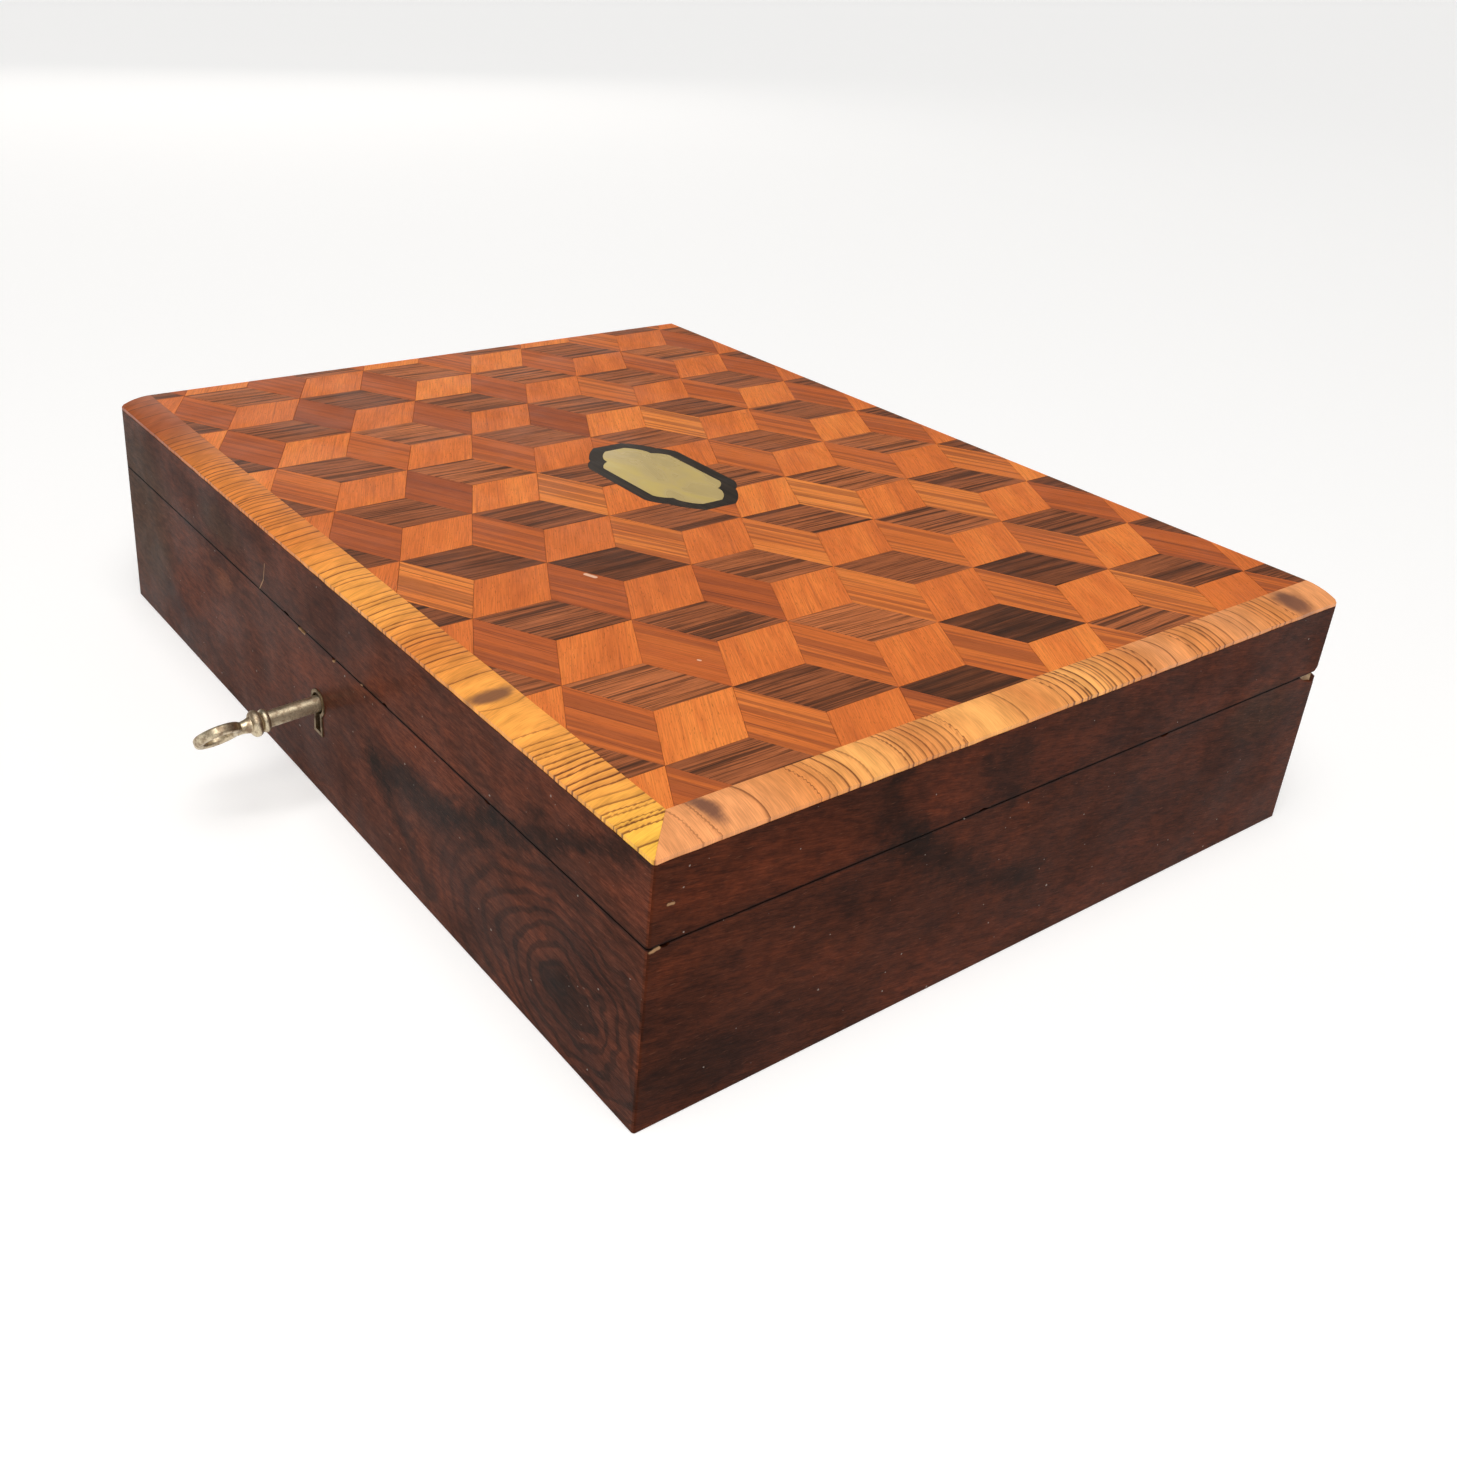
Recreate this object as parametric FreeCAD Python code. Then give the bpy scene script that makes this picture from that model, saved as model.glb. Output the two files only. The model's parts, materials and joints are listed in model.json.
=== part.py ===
import FreeCAD, Part

import math
import os

V = FreeCAD.Vector

# A keyed wooden casket with a cube-pattern marquetry lid.
# Millimetres. X runs along the front, +Y to the hinges, +Z up.
# The origin is the centre of the underside.

# ---- overall sizes ----
LENGTH = 295.0            # outside, along X
DEPTH = 227.5             # outside, along Y
RIM_Z = 47.2              # top of the body
SEAM = 0.3                # gap between the body and the closed lid
FIELD_Z = 70.4            # flat field of the lid above the base

# ---- carcase and veneers ----
WALL = 9.0                # solid wood walls
LAP = 4.0                 # tongue left on the long walls at each corner
BASE_T = 5.0              # bottom board, let into the walls
PANEL_T = 7.0             # lid panel under the marquetry
VENEER = 1.0              # rosewood on the outside faces
RIM_VENEER = 0.8          # strips on the two meeting rims
CORNER_R = 0.8            # worn outside corners

# ---- lid surface ----
BAND_W = 10.0             # crossbanding width
BAND_DROP = 2.4           # fall from the field to the outer edge
BAND_CROWN = 0.6          # rise of the banding's arc above its chord
BAND_EDGE_T = 1.0         # thickness left at the outer edge
MARQUETRY_T = 1.0         # thickness of the marquetry pieces
PITCH = 38.1              # distance between neighbouring six-way points
LATTICE_X = -8.5          # the six-way point under the cartouche
LATTICE_Y = 4.6
GLUE_LINE = 0.12          # gap between two marquetry pieces
PLAQUE_HALF_L = 24.7      # cartouche plaque, half length along X
PLAQUE_HALF_W = 12.6
PLAQUE_FLAT = 12.5        # half of the straight long side
PLAQUE_END = 3.6          # half of the straight short side
CUSP_X = 16.8             # notch between the two lobes
CUSP_Y = 8.4
CUSP_STEP = 2.2           # width of the notch's ledge
LOBE_SWELL = 0.42         # how far each shoulder curve bows out of its chord, along X and Y
FRAME_BORDER = 4.2        # ebony border round the plaque

# ---- linings ----
PAD_T = 2.0               # floor pad
LID_PAD_T = 3.0           # pad under the lid panel
LINING_T = 1.2            # cloth-covered card on the walls
LINING_DROP = 1.2         # how far the wall lining stops below the rim

# ---- hinges ----
HINGE_X = 75.0            # each hinge's distance from the middle
HINGE_L = 28.0
HINGE_LEAF_W = 6.6        # from the pin's axis to the leaf's edge
LEAF_T = 1.0
KNUCKLES = 5
KNUCKLE_R = 1.7
KNUCKLE_GAP = 0.2
HINGE_PIN_R = 0.8
PIN_PLAY = 0.05           # radial clearance of the turning knuckles
PIN_SEAT = 0.02           # radial clearance of the fixed knuckles
GROOVE = 1.8              # depth of the V groove along the back seam
CHAMFER_DEG = 48.0        # slope of each side of the groove

# ---- lock ----
KEY_Z = 28.65             # key axis at the front face
KEY_SAG_DEG = 3.5         # the loose key hangs by this much
KEY_REST_DEG = 48.0       # bit, right of twelve o'clock
LOCK_PLATE_HALF = 27.0    # back plate and selvedge, half length
LOCK_CASE_HALF = 21.0     # cap, half length
LOCK_PLATE_T = 1.2
LOCK_CAP_T = 0.8
LOCK_DEPTH = 5.6          # from the back plate to the cap's front face
LOCK_BELOW = 11.0         # cap's lower edge below the drill pin
PLATE_BELOW = 13.0        # back plate's lower edge below the drill pin
LOCK_FIT = 0.2            # play of the lock in its mortise
DRILL_PIN_R = 0.8
BOLT_T = 2.2              # bolt thickness, front to back
BOLT_LOW = 5.0            # bolt's lower edge above the drill pin
BOLT_H = 5.4
BOLT_FROM = -4.0          # bolt bar's left end
NOTCH_HALF = 2.9          # talon that the bit pushes, half width
NOTCH_GAP = 0.5           # over the bit's tip
BOLT_THROW = 7.0
TONGUE_T = 1.4
TONGUE_H = 2.0
TONGUE_BELOW_RIM = 4.7    # tongue's lower edge
RISER_W = 2.5
STAPLE_X = 8.0            # each staple's distance from the middle
STAPLE_T = 1.6
STAPLE_W = 4.0            # front to back
STAPLE_WEB = 1.2          # metal under the staple's hole
STAPLE_PLAY = 0.4
TONGUE_CLEAR = 1.0        # tongue's tip to the staple at rest
LINK_HALF = 16.5          # link plate on the lid, half length
LINK_W = 6.0
LINK_T = 1.0
PLATE_FIT = 0.05          # play of a plate in its recess

# ---- key ----
SHANK_R = 2.3
BORE_PLAY = 0.35          # round the drill pin, which the key hangs on
BORE_GAP = 0.6            # beyond the drill pin's tip
KEY_END_GAP = 0.4         # to the back plate
KEY_OUT = 34.6            # bow's tip in front of it
BIT_R = 7.6
BIT_T = 1.8
BIT_W = 3.4               # along the key
COLLAR_AT = 14.4          # where the collars start
RINGS = ((2.1, 3.2), (2.9, 3.65))   # length and radius of the two mouldings
NECK_R = 1.7              # between the mouldings and the bow
BOW_HALF_L = 6.3
BOW_HALF_W = 7.7
BOW_BAR = 2.3
BOW_T = 2.7
BOW_ROUND = 0.85
KEYHOLE_PLAY = 0.8        # round the shank
KEYHOLE_SLOT = 2.4        # slot width at the round hole
KEYHOLE_FOOT = 3.2        # slot width at its lower end
KEYHOLE_DROP = 8.4        # slot's lower end below the key axis
ESCUTCHEON_WALL = 0.95
ESCUTCHEON_PROUD = 0.3

# ---- screws ----
SCREW_HEAD_R = 1.8
SCREW_SHANK_R = 0.9
SCREW_L = 7.5
SCREW_HEAD_H = 1.1
SCREW_SLOT = 0.5
SCREW_PLAY = 0.05

# ---- worked out ----
FRONT_Y = -DEPTH / 2
BACK_Y = DEPTH / 2
LID_Z = RIM_Z + SEAM
PANEL_Z = FIELD_Z - MARQUETRY_T - PANEL_T
BAND_SEAT_Z = FIELD_Z - BAND_DROP - BAND_EDGE_T
# The lozenges run out to the left and back edges; banding lines only the front and right.
FIELD_LEFT = -LENGTH / 2
FIELD_RIGHT = LENGTH / 2 - BAND_W
FIELD_NEAR = -DEPTH / 2 + BAND_W
FIELD_FAR = DEPTH / 2
SKIN = VENEER + WALL      # from the outside face to the wall's inner face
INNER_X = LENGTH / 2 - SKIN
INNER_Y = DEPTH / 2 - SKIN
AXIS_Y = BACK_Y - GROOVE
AXIS_Z = RIM_Z + SEAM / 2
PLATE_D = SKIN - LOCK_PLATE_T          # back plate's front face, from the front
CAP_D = PLATE_D - LOCK_DEPTH           # cap's front face, from the front
BOLT_MID_D = (CAP_D + LOCK_CAP_T + PLATE_D) / 2
DRILL_Z = KEY_Z + math.tan(math.radians(KEY_SAG_DEG)) * BOLT_MID_D
SELVEDGE_Z = RIM_Z - LOCK_PLATE_T
KEY_IN = PLATE_D - KEY_END_GAP         # key's inner end, from the front
DRILL_TIP_D = CAP_D + LOCK_CAP_T / 2
BORE_R = DRILL_PIN_R + BORE_PLAY
BORE_DEEP = KEY_IN - DRILL_TIP_D + BORE_GAP
BIT_FROM = BOLT_MID_D - BIT_W / 2
BIT_TO = BOLT_MID_D + BIT_W / 2
KEYHOLE_R = SHANK_R + KEYHOLE_PLAY
NOTCH_FROM = BOLT_THROW / 2 - NOTCH_HALF
NOTCH_TO = BOLT_THROW / 2 + NOTCH_HALF
NOTCH_H = BIT_R + NOTCH_GAP - BOLT_LOW
SIDES = {"front": 0, "right": 90, "back": 180, "left": 270}

os.makedirs("parts", exist_ok=True)


# ---- helpers ----
def save(name, shape):
    shape.exportStep("parts/" + name + ".step")


def block(x0, x1, y0, y1, z0, z1):
    return Part.makeBox(x1 - x0, y1 - y0, z1 - z0, V(x0, y0, z0))


def prism(points, along):
    return Part.Face(Part.makePolygon(points + [points[0]])).extrude(along)


def rod(centre, direction, radius, length):
    return Part.makeCylinder(radius, length, centre, direction)


def at_depth(x0, x1, d0, d1, z0, z1):
    """A block placed by its distance behind the front face."""
    return block(x0, x1, FRONT_Y + d0, FRONT_Y + d1, z0, z1)


def turned(shape, side):
    """A piece drawn for the front, turned to another side."""
    copy = shape.copy()
    copy.rotate(V(0, 0, 0), V(0, 0, 1), SIDES[side])
    return copy


def run_and_reach(side):
    if side in ("front", "back"):
        return LENGTH, DEPTH / 2
    return DEPTH, LENGTH / 2


def mitred(side, section, width, left=True, right=True):
    """A strip of the given section along one side, mitred at both ends or at one.

    section is a face at x = 0 with y measured from the outside face.
    Left and right are as seen from outside.
    """
    run, reach = run_and_reach(side)
    strip = section.copy()
    strip.translate(V(-run / 2, -reach, 0))
    strip = strip.extrude(V(run, 0, 0))
    plan = [
        V(-run / 2, -reach, -1),
        V(run / 2, -reach, -1),
        V(run / 2 - width * right, -reach + width, -1),
        V(-run / 2 + width * left, -reach + width, -1),
    ]
    return turned(strip.common(prism(plan, V(0, 0, FIELD_Z + 2))), side)


def rectangle_section(d0, d1, z0, z1):
    corners = [V(0, d0, z0), V(0, d1, z0), V(0, d1, z1), V(0, d0, z1)]
    return Part.Face(Part.makePolygon(corners + [corners[0]]))


def rounded_outline():
    """The whole outside with its four upright corners worn round."""
    whole = block(-LENGTH / 2, LENGTH / 2, FRONT_Y, BACK_Y, -1, FIELD_Z + 1)
    upright = [e for e in whole.Edges if abs(e.Vertexes[0].Z - e.Vertexes[1].Z) > 1]
    return whole.makeFillet(CORNER_R, upright)


def screw(head, direction, play=0.0, length=SCREW_L):
    """A countersunk screw from its head's top, or its hole when play is given."""
    head_r = SCREW_HEAD_R + play
    shank_r = SCREW_SHANK_R + play
    profile = [
        V(0, 0, 0),
        V(head_r, 0, 0),
        V(shank_r, 0, SCREW_HEAD_H + play),
        V(shank_r, 0, length - shank_r),
        V(0, 0, length + play),
    ]
    face = Part.Face(Part.makePolygon(profile + [profile[0]]))
    body = face.revolve(V(0, 0, 0), V(0, 0, 1), 360)
    if play == 0.0:
        slot = block(-head_r, head_r, -SCREW_SLOT / 2, SCREW_SLOT / 2, -1, SCREW_SLOT)
        body = body.cut(slot)
    turn = FreeCAD.Rotation(V(0, 0, 1), direction)
    body.Placement = FreeCAD.Placement(head, turn)
    return body


def screw_group(places):
    return Part.makeCompound([screw(head, way) for head, way in places])


def screw_holes(places):
    return [screw(head, way, SCREW_PLAY) for head, way in places]


# ---- cuts shared by several pieces ----
def back_groove():
    """The V along the back seam: its two faces meet when the lid is open."""
    out = GROOVE + 1
    rise = out * math.tan(math.radians(CHAMFER_DEG))
    corners = [
        V(-LENGTH, AXIS_Y, AXIS_Z),
        V(-LENGTH, AXIS_Y + out, AXIS_Z - rise),
        V(-LENGTH, AXIS_Y + out, AXIS_Z + rise),
    ]
    return prism(corners, V(2 * LENGTH, 0, 0))


def hinge_centres():
    return [-HINGE_X, HINGE_X]


def hinge_recesses(leaf_low, leaf_high):
    """Room in the rim for each leaf and for the whole row of knuckles."""
    cuts = []
    half = HINGE_L / 2 + PLATE_FIT
    for x in hinge_centres():
        leaf_edge = AXIS_Y - HINGE_LEAF_W - PLATE_FIT
        cuts.append(block(x - half, x + half, leaf_edge, AXIS_Y, leaf_low, leaf_high))
        start = V(x - half - KNUCKLE_GAP, AXIS_Y, AXIS_Z)
        room = KNUCKLE_R + KNUCKLE_GAP
        cuts.append(rod(start, V(1, 0, 0), room, 2 * (half + KNUCKLE_GAP)))
    return cuts


def keyhole(radius, slot, foot, drop, d0, d1):
    """Round hole with a slot that widens downwards, cut front to back."""
    hole = rod(V(0, FRONT_Y + d0, KEY_Z), V(0, 1, 0), radius, d1 - d0)
    foot_z = KEY_Z - drop
    corners = [
        V(-slot / 2, FRONT_Y + d0, KEY_Z),
        V(slot / 2, FRONT_Y + d0, KEY_Z),
        V(foot / 2, FRONT_Y + d0, foot_z),
        V(-foot / 2, FRONT_Y + d0, foot_z),
    ]
    return hole.fuse(prism(corners, V(0, d1 - d0, 0)))


def escutcheon_outline(d0, d1, play=0.0):
    grow = ESCUTCHEON_WALL + play
    return keyhole(
        KEYHOLE_R + grow,
        KEYHOLE_SLOT + 2 * grow,
        KEYHOLE_FOOT + 2 * grow,
        KEYHOLE_DROP + grow,
        d0,
        d1,
    )


def worn_chip(side, along, length, deep, upward):
    """A shallow round-bottomed chip in a veneer edge at the seam."""
    _, reach = run_and_reach(side)
    radius = (length**2 / 4 + deep**2) / (2 * deep)
    z = LID_Z - radius + deep if upward else RIM_Z + radius - deep
    centre = V(along, -reach - 1, z)
    return turned(rod(centre, V(0, 1, 0), radius, VENEER + 1), side)


# Screw places: the head's top and the way it points.
HINGE_SCREW_X = (-9.0, 0.0, 9.0)
HINGE_SCREW_Y = AXIS_Y - 4.2
body_hinge_places = [
    (V(x + dx, HINGE_SCREW_Y, RIM_Z), V(0, 0, -1))
    for x in hinge_centres()
    for dx in HINGE_SCREW_X
]
lid_hinge_places = [
    (V(head.x, head.y, LID_Z), V(0, 0, 1)) for head, way in body_hinge_places
]
LOCK_SCREW_X = (LOCK_PLATE_HALF + LOCK_CASE_HALF) / 2
LOCK_SCREW_DZ = (-9.0, 5.0)
lock_places = [
    (V(sx * LOCK_SCREW_X, FRONT_Y + SKIN, DRILL_Z + dz), V(0, -1, 0))
    for sx in (-1, 1)
    for dz in LOCK_SCREW_DZ
]
lock_places += [
    (V(sx * LOCK_SCREW_X, FRONT_Y + BOLT_MID_D, RIM_Z), V(0, 0, -1)) for sx in (-1, 1)
]
LINK_SCREW_X = LINK_HALF - 3.2
link_places = [
    (V(sx * LINK_SCREW_X, FRONT_Y + BOLT_MID_D, LID_Z), V(0, 0, 1)) for sx in (-1, 1)
]

# Recesses for the lock in the front wall and in the rim strips.
case_half = LOCK_CASE_HALF + LOCK_FIT
plate_half = LOCK_PLATE_HALF + PLATE_FIT
case_low = DRILL_Z - LOCK_BELOW - LOCK_FIT
plate_low = DRILL_Z - PLATE_BELOW - PLATE_FIT
selvedge_d = CAP_D - LOCK_FIT
lock_mortise = [
    at_depth(-case_half, case_half, selvedge_d, SKIN + 1, case_low, RIM_Z),
    at_depth(-plate_half, plate_half, PLATE_D, SKIN + 1, plate_low, RIM_Z),
    at_depth(-plate_half, plate_half, selvedge_d, SKIN + 1, SELVEDGE_Z, RIM_Z + 1),
]
link_half = LINK_HALF + PLATE_FIT
link_d0 = BOLT_MID_D - LINK_W / 2
link_d1 = BOLT_MID_D + LINK_W / 2
link_top = LID_Z + LINK_T
link_recess = at_depth(
    -link_half, link_half, link_d0 - PLATE_FIT, link_d1 + PLATE_FIT, LID_Z - 1, link_top
)
groove = back_groove()
outline = rounded_outline()
body_hinge_cuts = hinge_recesses(RIM_Z - LEAF_T, RIM_Z + SEAM)
lid_hinge_cuts = hinge_recesses(RIM_Z, LID_Z + LEAF_T)
body_cuts = [groove] + body_hinge_cuts + screw_holes(body_hinge_places)
lid_cuts = [groove] + lid_hinge_cuts + screw_holes(lid_hinge_places)


# ---- carcase ----
def long_wall(side, z0, z1):
    """Front or back wall, thinned at both ends to lap over the short walls."""
    half = LENGTH / 2 - VENEER
    wall = at_depth(-half, half, VENEER, SKIN, z0, z1)
    for end in (-1, 1):
        x0, x1 = sorted((end * half, end * (half - WALL)))
        wall = wall.cut(at_depth(x0, x1, VENEER + LAP, SKIN, z0, z1))
    return turned(wall, side)


def short_wall(side, z0, z1):
    half = DEPTH / 2 - VENEER - LAP
    reach = LENGTH / 2
    return turned(block(-half, half, -reach + VENEER, -reach + SKIN, z0, z1), side)


def wall(side, z0, z1):
    if side in ("front", "back"):
        return long_wall(side, z0, z1)
    return short_wall(side, z0, z1)


board_x = INNER_X + WALL - LAP
board_y = INNER_Y + WALL - LAP
bottom_board = block(-board_x, board_x, -board_y, board_y, 0, BASE_T)
save("bottom_board", bottom_board)

for side in SIDES:
    body_wall = wall(side, 0, RIM_Z - RIM_VENEER).cut(bottom_board)
    cuts = list(body_cuts)
    if side == "front":
        cuts += lock_mortise + screw_holes(lock_places)
        cuts.append(escutcheon_outline(0, SKIN, PLATE_FIT))
    save("body_" + side + "_wall", body_wall.cut(cuts))
    lid_wall = wall(side, LID_Z + RIM_VENEER, PANEL_Z)
    cuts = list(lid_cuts)
    if side == "front":
        cuts += [link_recess] + screw_holes(link_places)
    save("lid_" + side + "_wall", lid_wall.cut(cuts))

panel_x = LENGTH / 2 - VENEER
panel_y = DEPTH / 2 - VENEER
lid_panel = block(-panel_x, panel_x, -panel_y, panel_y, PANEL_Z, BAND_SEAT_Z)
field_top = FIELD_Z - MARQUETRY_T
lid_panel = lid_panel.fuse(
    block(-panel_x, FIELD_RIGHT, FIELD_NEAR, panel_y, PANEL_Z, field_top)
).removeSplitter()
save("lid_top_panel", lid_panel)

# ---- outside veneers ----
# Wear at the seam: place along the side, length, depth, and which edge.
CHIPS = {
    "front": [(-8.5, 5.6, 0.9, False), (10.9, 2.4, 0.8, False), (-18.4, 4.0, 0.5, True),
              (39.6, 2.6, 0.5, True), (88.0, 3.2, 0.4, False)],
    "right": [(-109.5, 2.6, 0.7, False), (46.0, 3.6, 0.5, False), (-20.0, 3.0, 0.4, True)],
    "back": [(-52.0, 4.0, 0.6, False), (101.0, 3.0, 0.5, True)],
    "left": [(31.0, 3.4, 0.5, False)],
}


def lost_corner():
    """Veneer lost from the right end at the back of the body's rim."""
    outside = LENGTH / 2 - VENEER
    corners = [
        V(outside, BACK_Y - 8.2, RIM_Z),
        V(outside, BACK_Y - 7.0, RIM_Z - 0.9),
        V(outside, BACK_Y - 4.2, RIM_Z - 2.3),
        V(outside, BACK_Y - 1.6, RIM_Z - 2.9),
        V(outside, BACK_Y + 1.0, RIM_Z - 3.9),
        V(outside, BACK_Y + 1.0, RIM_Z + SEAM),
        V(outside, BACK_Y - 8.2, RIM_Z + SEAM),
    ]
    return prism(corners, V(VENEER + 1, 0, 0))


band_room = [
    block(-LENGTH / 2 - 1, LENGTH / 2 + 1, FRONT_Y - 1, FIELD_NEAR, BAND_SEAT_Z, FIELD_Z),
    block(FIELD_RIGHT, LENGTH / 2 + 1, FRONT_Y - 1, BACK_Y + 1, BAND_SEAT_Z, FIELD_Z),
]

for side in SIDES:
    body_chips = [worn_chip(side, x, w, deep, up) for x, w, deep, up in CHIPS[side] if not up]
    lid_chips = [worn_chip(side, x, w, deep, up) for x, w, deep, up in CHIPS[side] if up]
    skin = mitred(side, rectangle_section(0, VENEER, 0, RIM_Z), VENEER).common(outline)
    cuts = [groove] + body_hinge_cuts + body_chips
    if side == "front":
        cuts.append(escutcheon_outline(-1, SKIN, PLATE_FIT))
    if side == "right":
        cuts.append(lost_corner())
    save("body_" + side + "_veneer", skin.cut(cuts))
    section = rectangle_section(0, VENEER, LID_Z, field_top)
    skin = mitred(side, section, VENEER).common(outline)
    save("lid_" + side + "_veneer", skin.cut([groove] + lid_hinge_cuts + lid_chips + band_room))


def rim_strips(z0, z1, cuts):
    strips = []
    for side in SIDES:
        section = rectangle_section(VENEER, SKIN, z0, z1)
        strips.append(mitred(side, section, SKIN).cut(cuts))
    return Part.makeCompound([solid for strip in strips for solid in strip.Solids])


body_rim_cuts = body_cuts + lock_mortise + screw_holes(lock_places)
lid_rim_cuts = lid_cuts + [link_recess]
save("body_rim_strips", rim_strips(RIM_Z - RIM_VENEER, RIM_Z, body_rim_cuts))
save("lid_rim_strips", rim_strips(LID_Z, LID_Z + RIM_VENEER, lid_rim_cuts))


# ---- crossbanding ----
def band_section():
    """Flat seat, short upright edge, and a convex top that falls outwards."""
    top = FIELD_Z
    edge = FIELD_Z - BAND_DROP
    slope = math.atan2(BAND_DROP, BAND_W)
    mid_y = BAND_W / 2 - BAND_CROWN * math.sin(slope)
    mid_z = (top + edge) / 2 + BAND_CROWN * math.cos(slope)
    outer = V(0, 0, edge)
    inner = V(0, BAND_W, top)
    arc = Part.Arc(outer, V(0, mid_y, mid_z), inner).toShape()
    lines = Part.makePolygon([inner, V(0, BAND_W, BAND_SEAT_Z), V(0, 0, BAND_SEAT_Z), outer])
    return Part.Face(Part.Wire([arc] + lines.Edges))


for side in ("front", "right"):
    at_near_corner = {"left": side == "right", "right": side == "front"}
    save("banding_" + side, mitred(side, band_section(), BAND_W, **at_near_corner).common(outline))


# ---- cartouche ----
def cartouche(border, z0, z1):
    """Long plaque with lobed sides and a small cusp at each shoulder.

    border widens the plaque's own outline evenly.
    """
    half_l = PLAQUE_HALF_L + border
    half_w = PLAQUE_HALF_W + border
    flat = V(PLAQUE_FLAT + border * 0.4, half_w, 0)
    cusp = V(CUSP_X + border * 0.76, CUSP_Y + border * 0.98, 0)
    step = CUSP_STEP - border * 0.35
    ledge = V(cusp.x + step * 0.9, cusp.y - step * 0.1, 0)
    end = V(half_l, PLAQUE_END + border * 0.4, 0)
    lobe = (flat + cusp) * 0.5 + V(LOBE_SWELL, LOBE_SWELL, 0)
    horn = (ledge + end) * 0.5 + V(LOBE_SWELL, LOBE_SWELL, 0)
    quarter = [
        Part.Arc(flat, lobe, cusp).toShape(),
        Part.makeLine(cusp, ledge),
        Part.Arc(ledge, horn, end).toShape(),
    ]
    edges = []
    for mx, my in ((1, 1), (1, -1), (-1, 1), (-1, -1)):
        flip = FreeCAD.Matrix(mx, 0, 0, 0, 0, my, 0, 0, 0, 0, 1, 0, 0, 0, 0, 1)
        edges += [edge.transformGeometry(flip) for edge in quarter]
    for sign in (1, -1):
        edges.append(Part.makeLine(V(-flat.x, sign * half_w, 0), V(flat.x, sign * half_w, 0)))
        edges.append(Part.makeLine(V(sign * half_l, -end.y, 0), V(sign * half_l, end.y, 0)))
    face = Part.Face(Part.Wire(Part.__sortEdges__(edges)))
    face.translate(V(LATTICE_X, LATTICE_Y, z0))
    return face.extrude(V(0, 0, z1 - z0))


plaque = cartouche(0, field_top, FIELD_Z)
plaque_hole = cartouche(PLATE_FIT, field_top, FIELD_Z)
save("cartouche_plaque", plaque)
save("cartouche_frame", cartouche(FRAME_BORDER, field_top, FIELD_Z).cut(plaque_hole))
cartouche_room = cartouche(FRAME_BORDER + GLUE_LINE / 2, field_top - 1, FIELD_Z + 1)
ROOM_BOX = cartouche_room.BoundBox


# ---- marquetry ----
def six_way(i, j):
    return V(LATTICE_X + (i + j / 2) * PITCH, LATTICE_Y + j * PITCH * math.sqrt(0.75), 0)


def clipped(points):
    """A convex outline cut to the field's rectangle, a glue line clear of the banding."""
    edges = (
        (0, 1, FIELD_RIGHT - GLUE_LINE / 2),
        (0, -1, -FIELD_LEFT),
        (1, 1, FIELD_FAR),
        (1, -1, -FIELD_NEAR - GLUE_LINE / 2),
    )
    for axis, sign, limit in edges:
        kept = []
        for k, point in enumerate(points):
            last = points[k - 1]
            over = sign * point[axis] - limit
            last_over = sign * last[axis] - limit
            if over * last_over < 0:
                kept.append(last + (point - last) * (last_over / (last_over - over)))
            if over <= 0:
                kept.append(point)
        points = kept
    return points


def lozenge(start, end):
    """The 60 degree lozenge whose long diagonal joins two six-way points."""
    middle = (start + end) * 0.5
    along = end - start
    across = V(-along.y, along.x, 0) * (0.5 / math.sqrt(3))
    inradius = PITCH / 4
    shrink = 1 - GLUE_LINE / 2 / inradius
    corners = [start, middle - across, end, middle + across]
    return [middle + (corner - middle) * shrink for corner in corners]


# Each wood fills one of the three directions round a six-way point.
LOZENGES = {
    "marquetry_tulipwood": ((0, 0), (1, 0)),
    "marquetry_kingwood": ((0, 0), (0, 1)),
    "marquetry_satinwood": ((1, 0), (0, 1)),
}
SPAN = int(LENGTH / PITCH) + 2
SMALLEST = 0.6            # area of a corner sliver that is left out

for name, ((i0, j0), (i1, j1)) in LOZENGES.items():
    pieces = []
    for i in range(-2 * SPAN, 2 * SPAN):
        for j in range(-SPAN, SPAN):
            points = lozenge(six_way(i + i0, j + j0), six_way(i + i1, j + j1))
            points = clipped(points)
            if len(points) < 3:
                continue
            piece = prism([p + V(0, 0, field_top) for p in points], V(0, 0, MARQUETRY_T))
            if piece.BoundBox.intersect(ROOM_BOX):
                piece = piece.cut(cartouche_room)
            if piece.BoundBox.XMin < FIELD_LEFT + CORNER_R and piece.BoundBox.YMax > FIELD_FAR - CORNER_R:
                piece = piece.common(outline)
            pieces += [s for s in piece.Solids if s.Volume > SMALLEST * MARQUETRY_T]
    save(name, Part.makeCompound(pieces))


# ---- linings ----
def lining_walls(z0, z1, prefix, notch=None):
    """Cloth-covered card on the four walls: the short pieces fit between."""
    for side in SIDES:
        run, reach = run_and_reach(side)
        half = run / 2 - SKIN
        if side in ("left", "right"):
            half -= LINING_T
        strip = block(-half, half, -reach + SKIN, -reach + SKIN + LINING_T, z0, z1)
        if notch and side == "front":
            strip = strip.cut(notch)
        save(prefix + side, turned(strip, side))


save("floor_lining", block(-INNER_X, INNER_X, -INNER_Y, INNER_Y, BASE_T, BASE_T + PAD_T))
lock_window = at_depth(
    -plate_half, plate_half, SKIN - 1, SKIN + LINING_T + 1, plate_low, RIM_Z
)
lining_walls(BASE_T + PAD_T, RIM_Z - LINING_DROP, "body_lining_", lock_window)
save("lid_lining_pad", block(-INNER_X, INNER_X, -INNER_Y, INNER_Y, PANEL_Z - LID_PAD_T, PANEL_Z))
lining_walls(LID_Z + LINING_DROP, PANEL_Z - LID_PAD_T, "lid_lining_")


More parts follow.
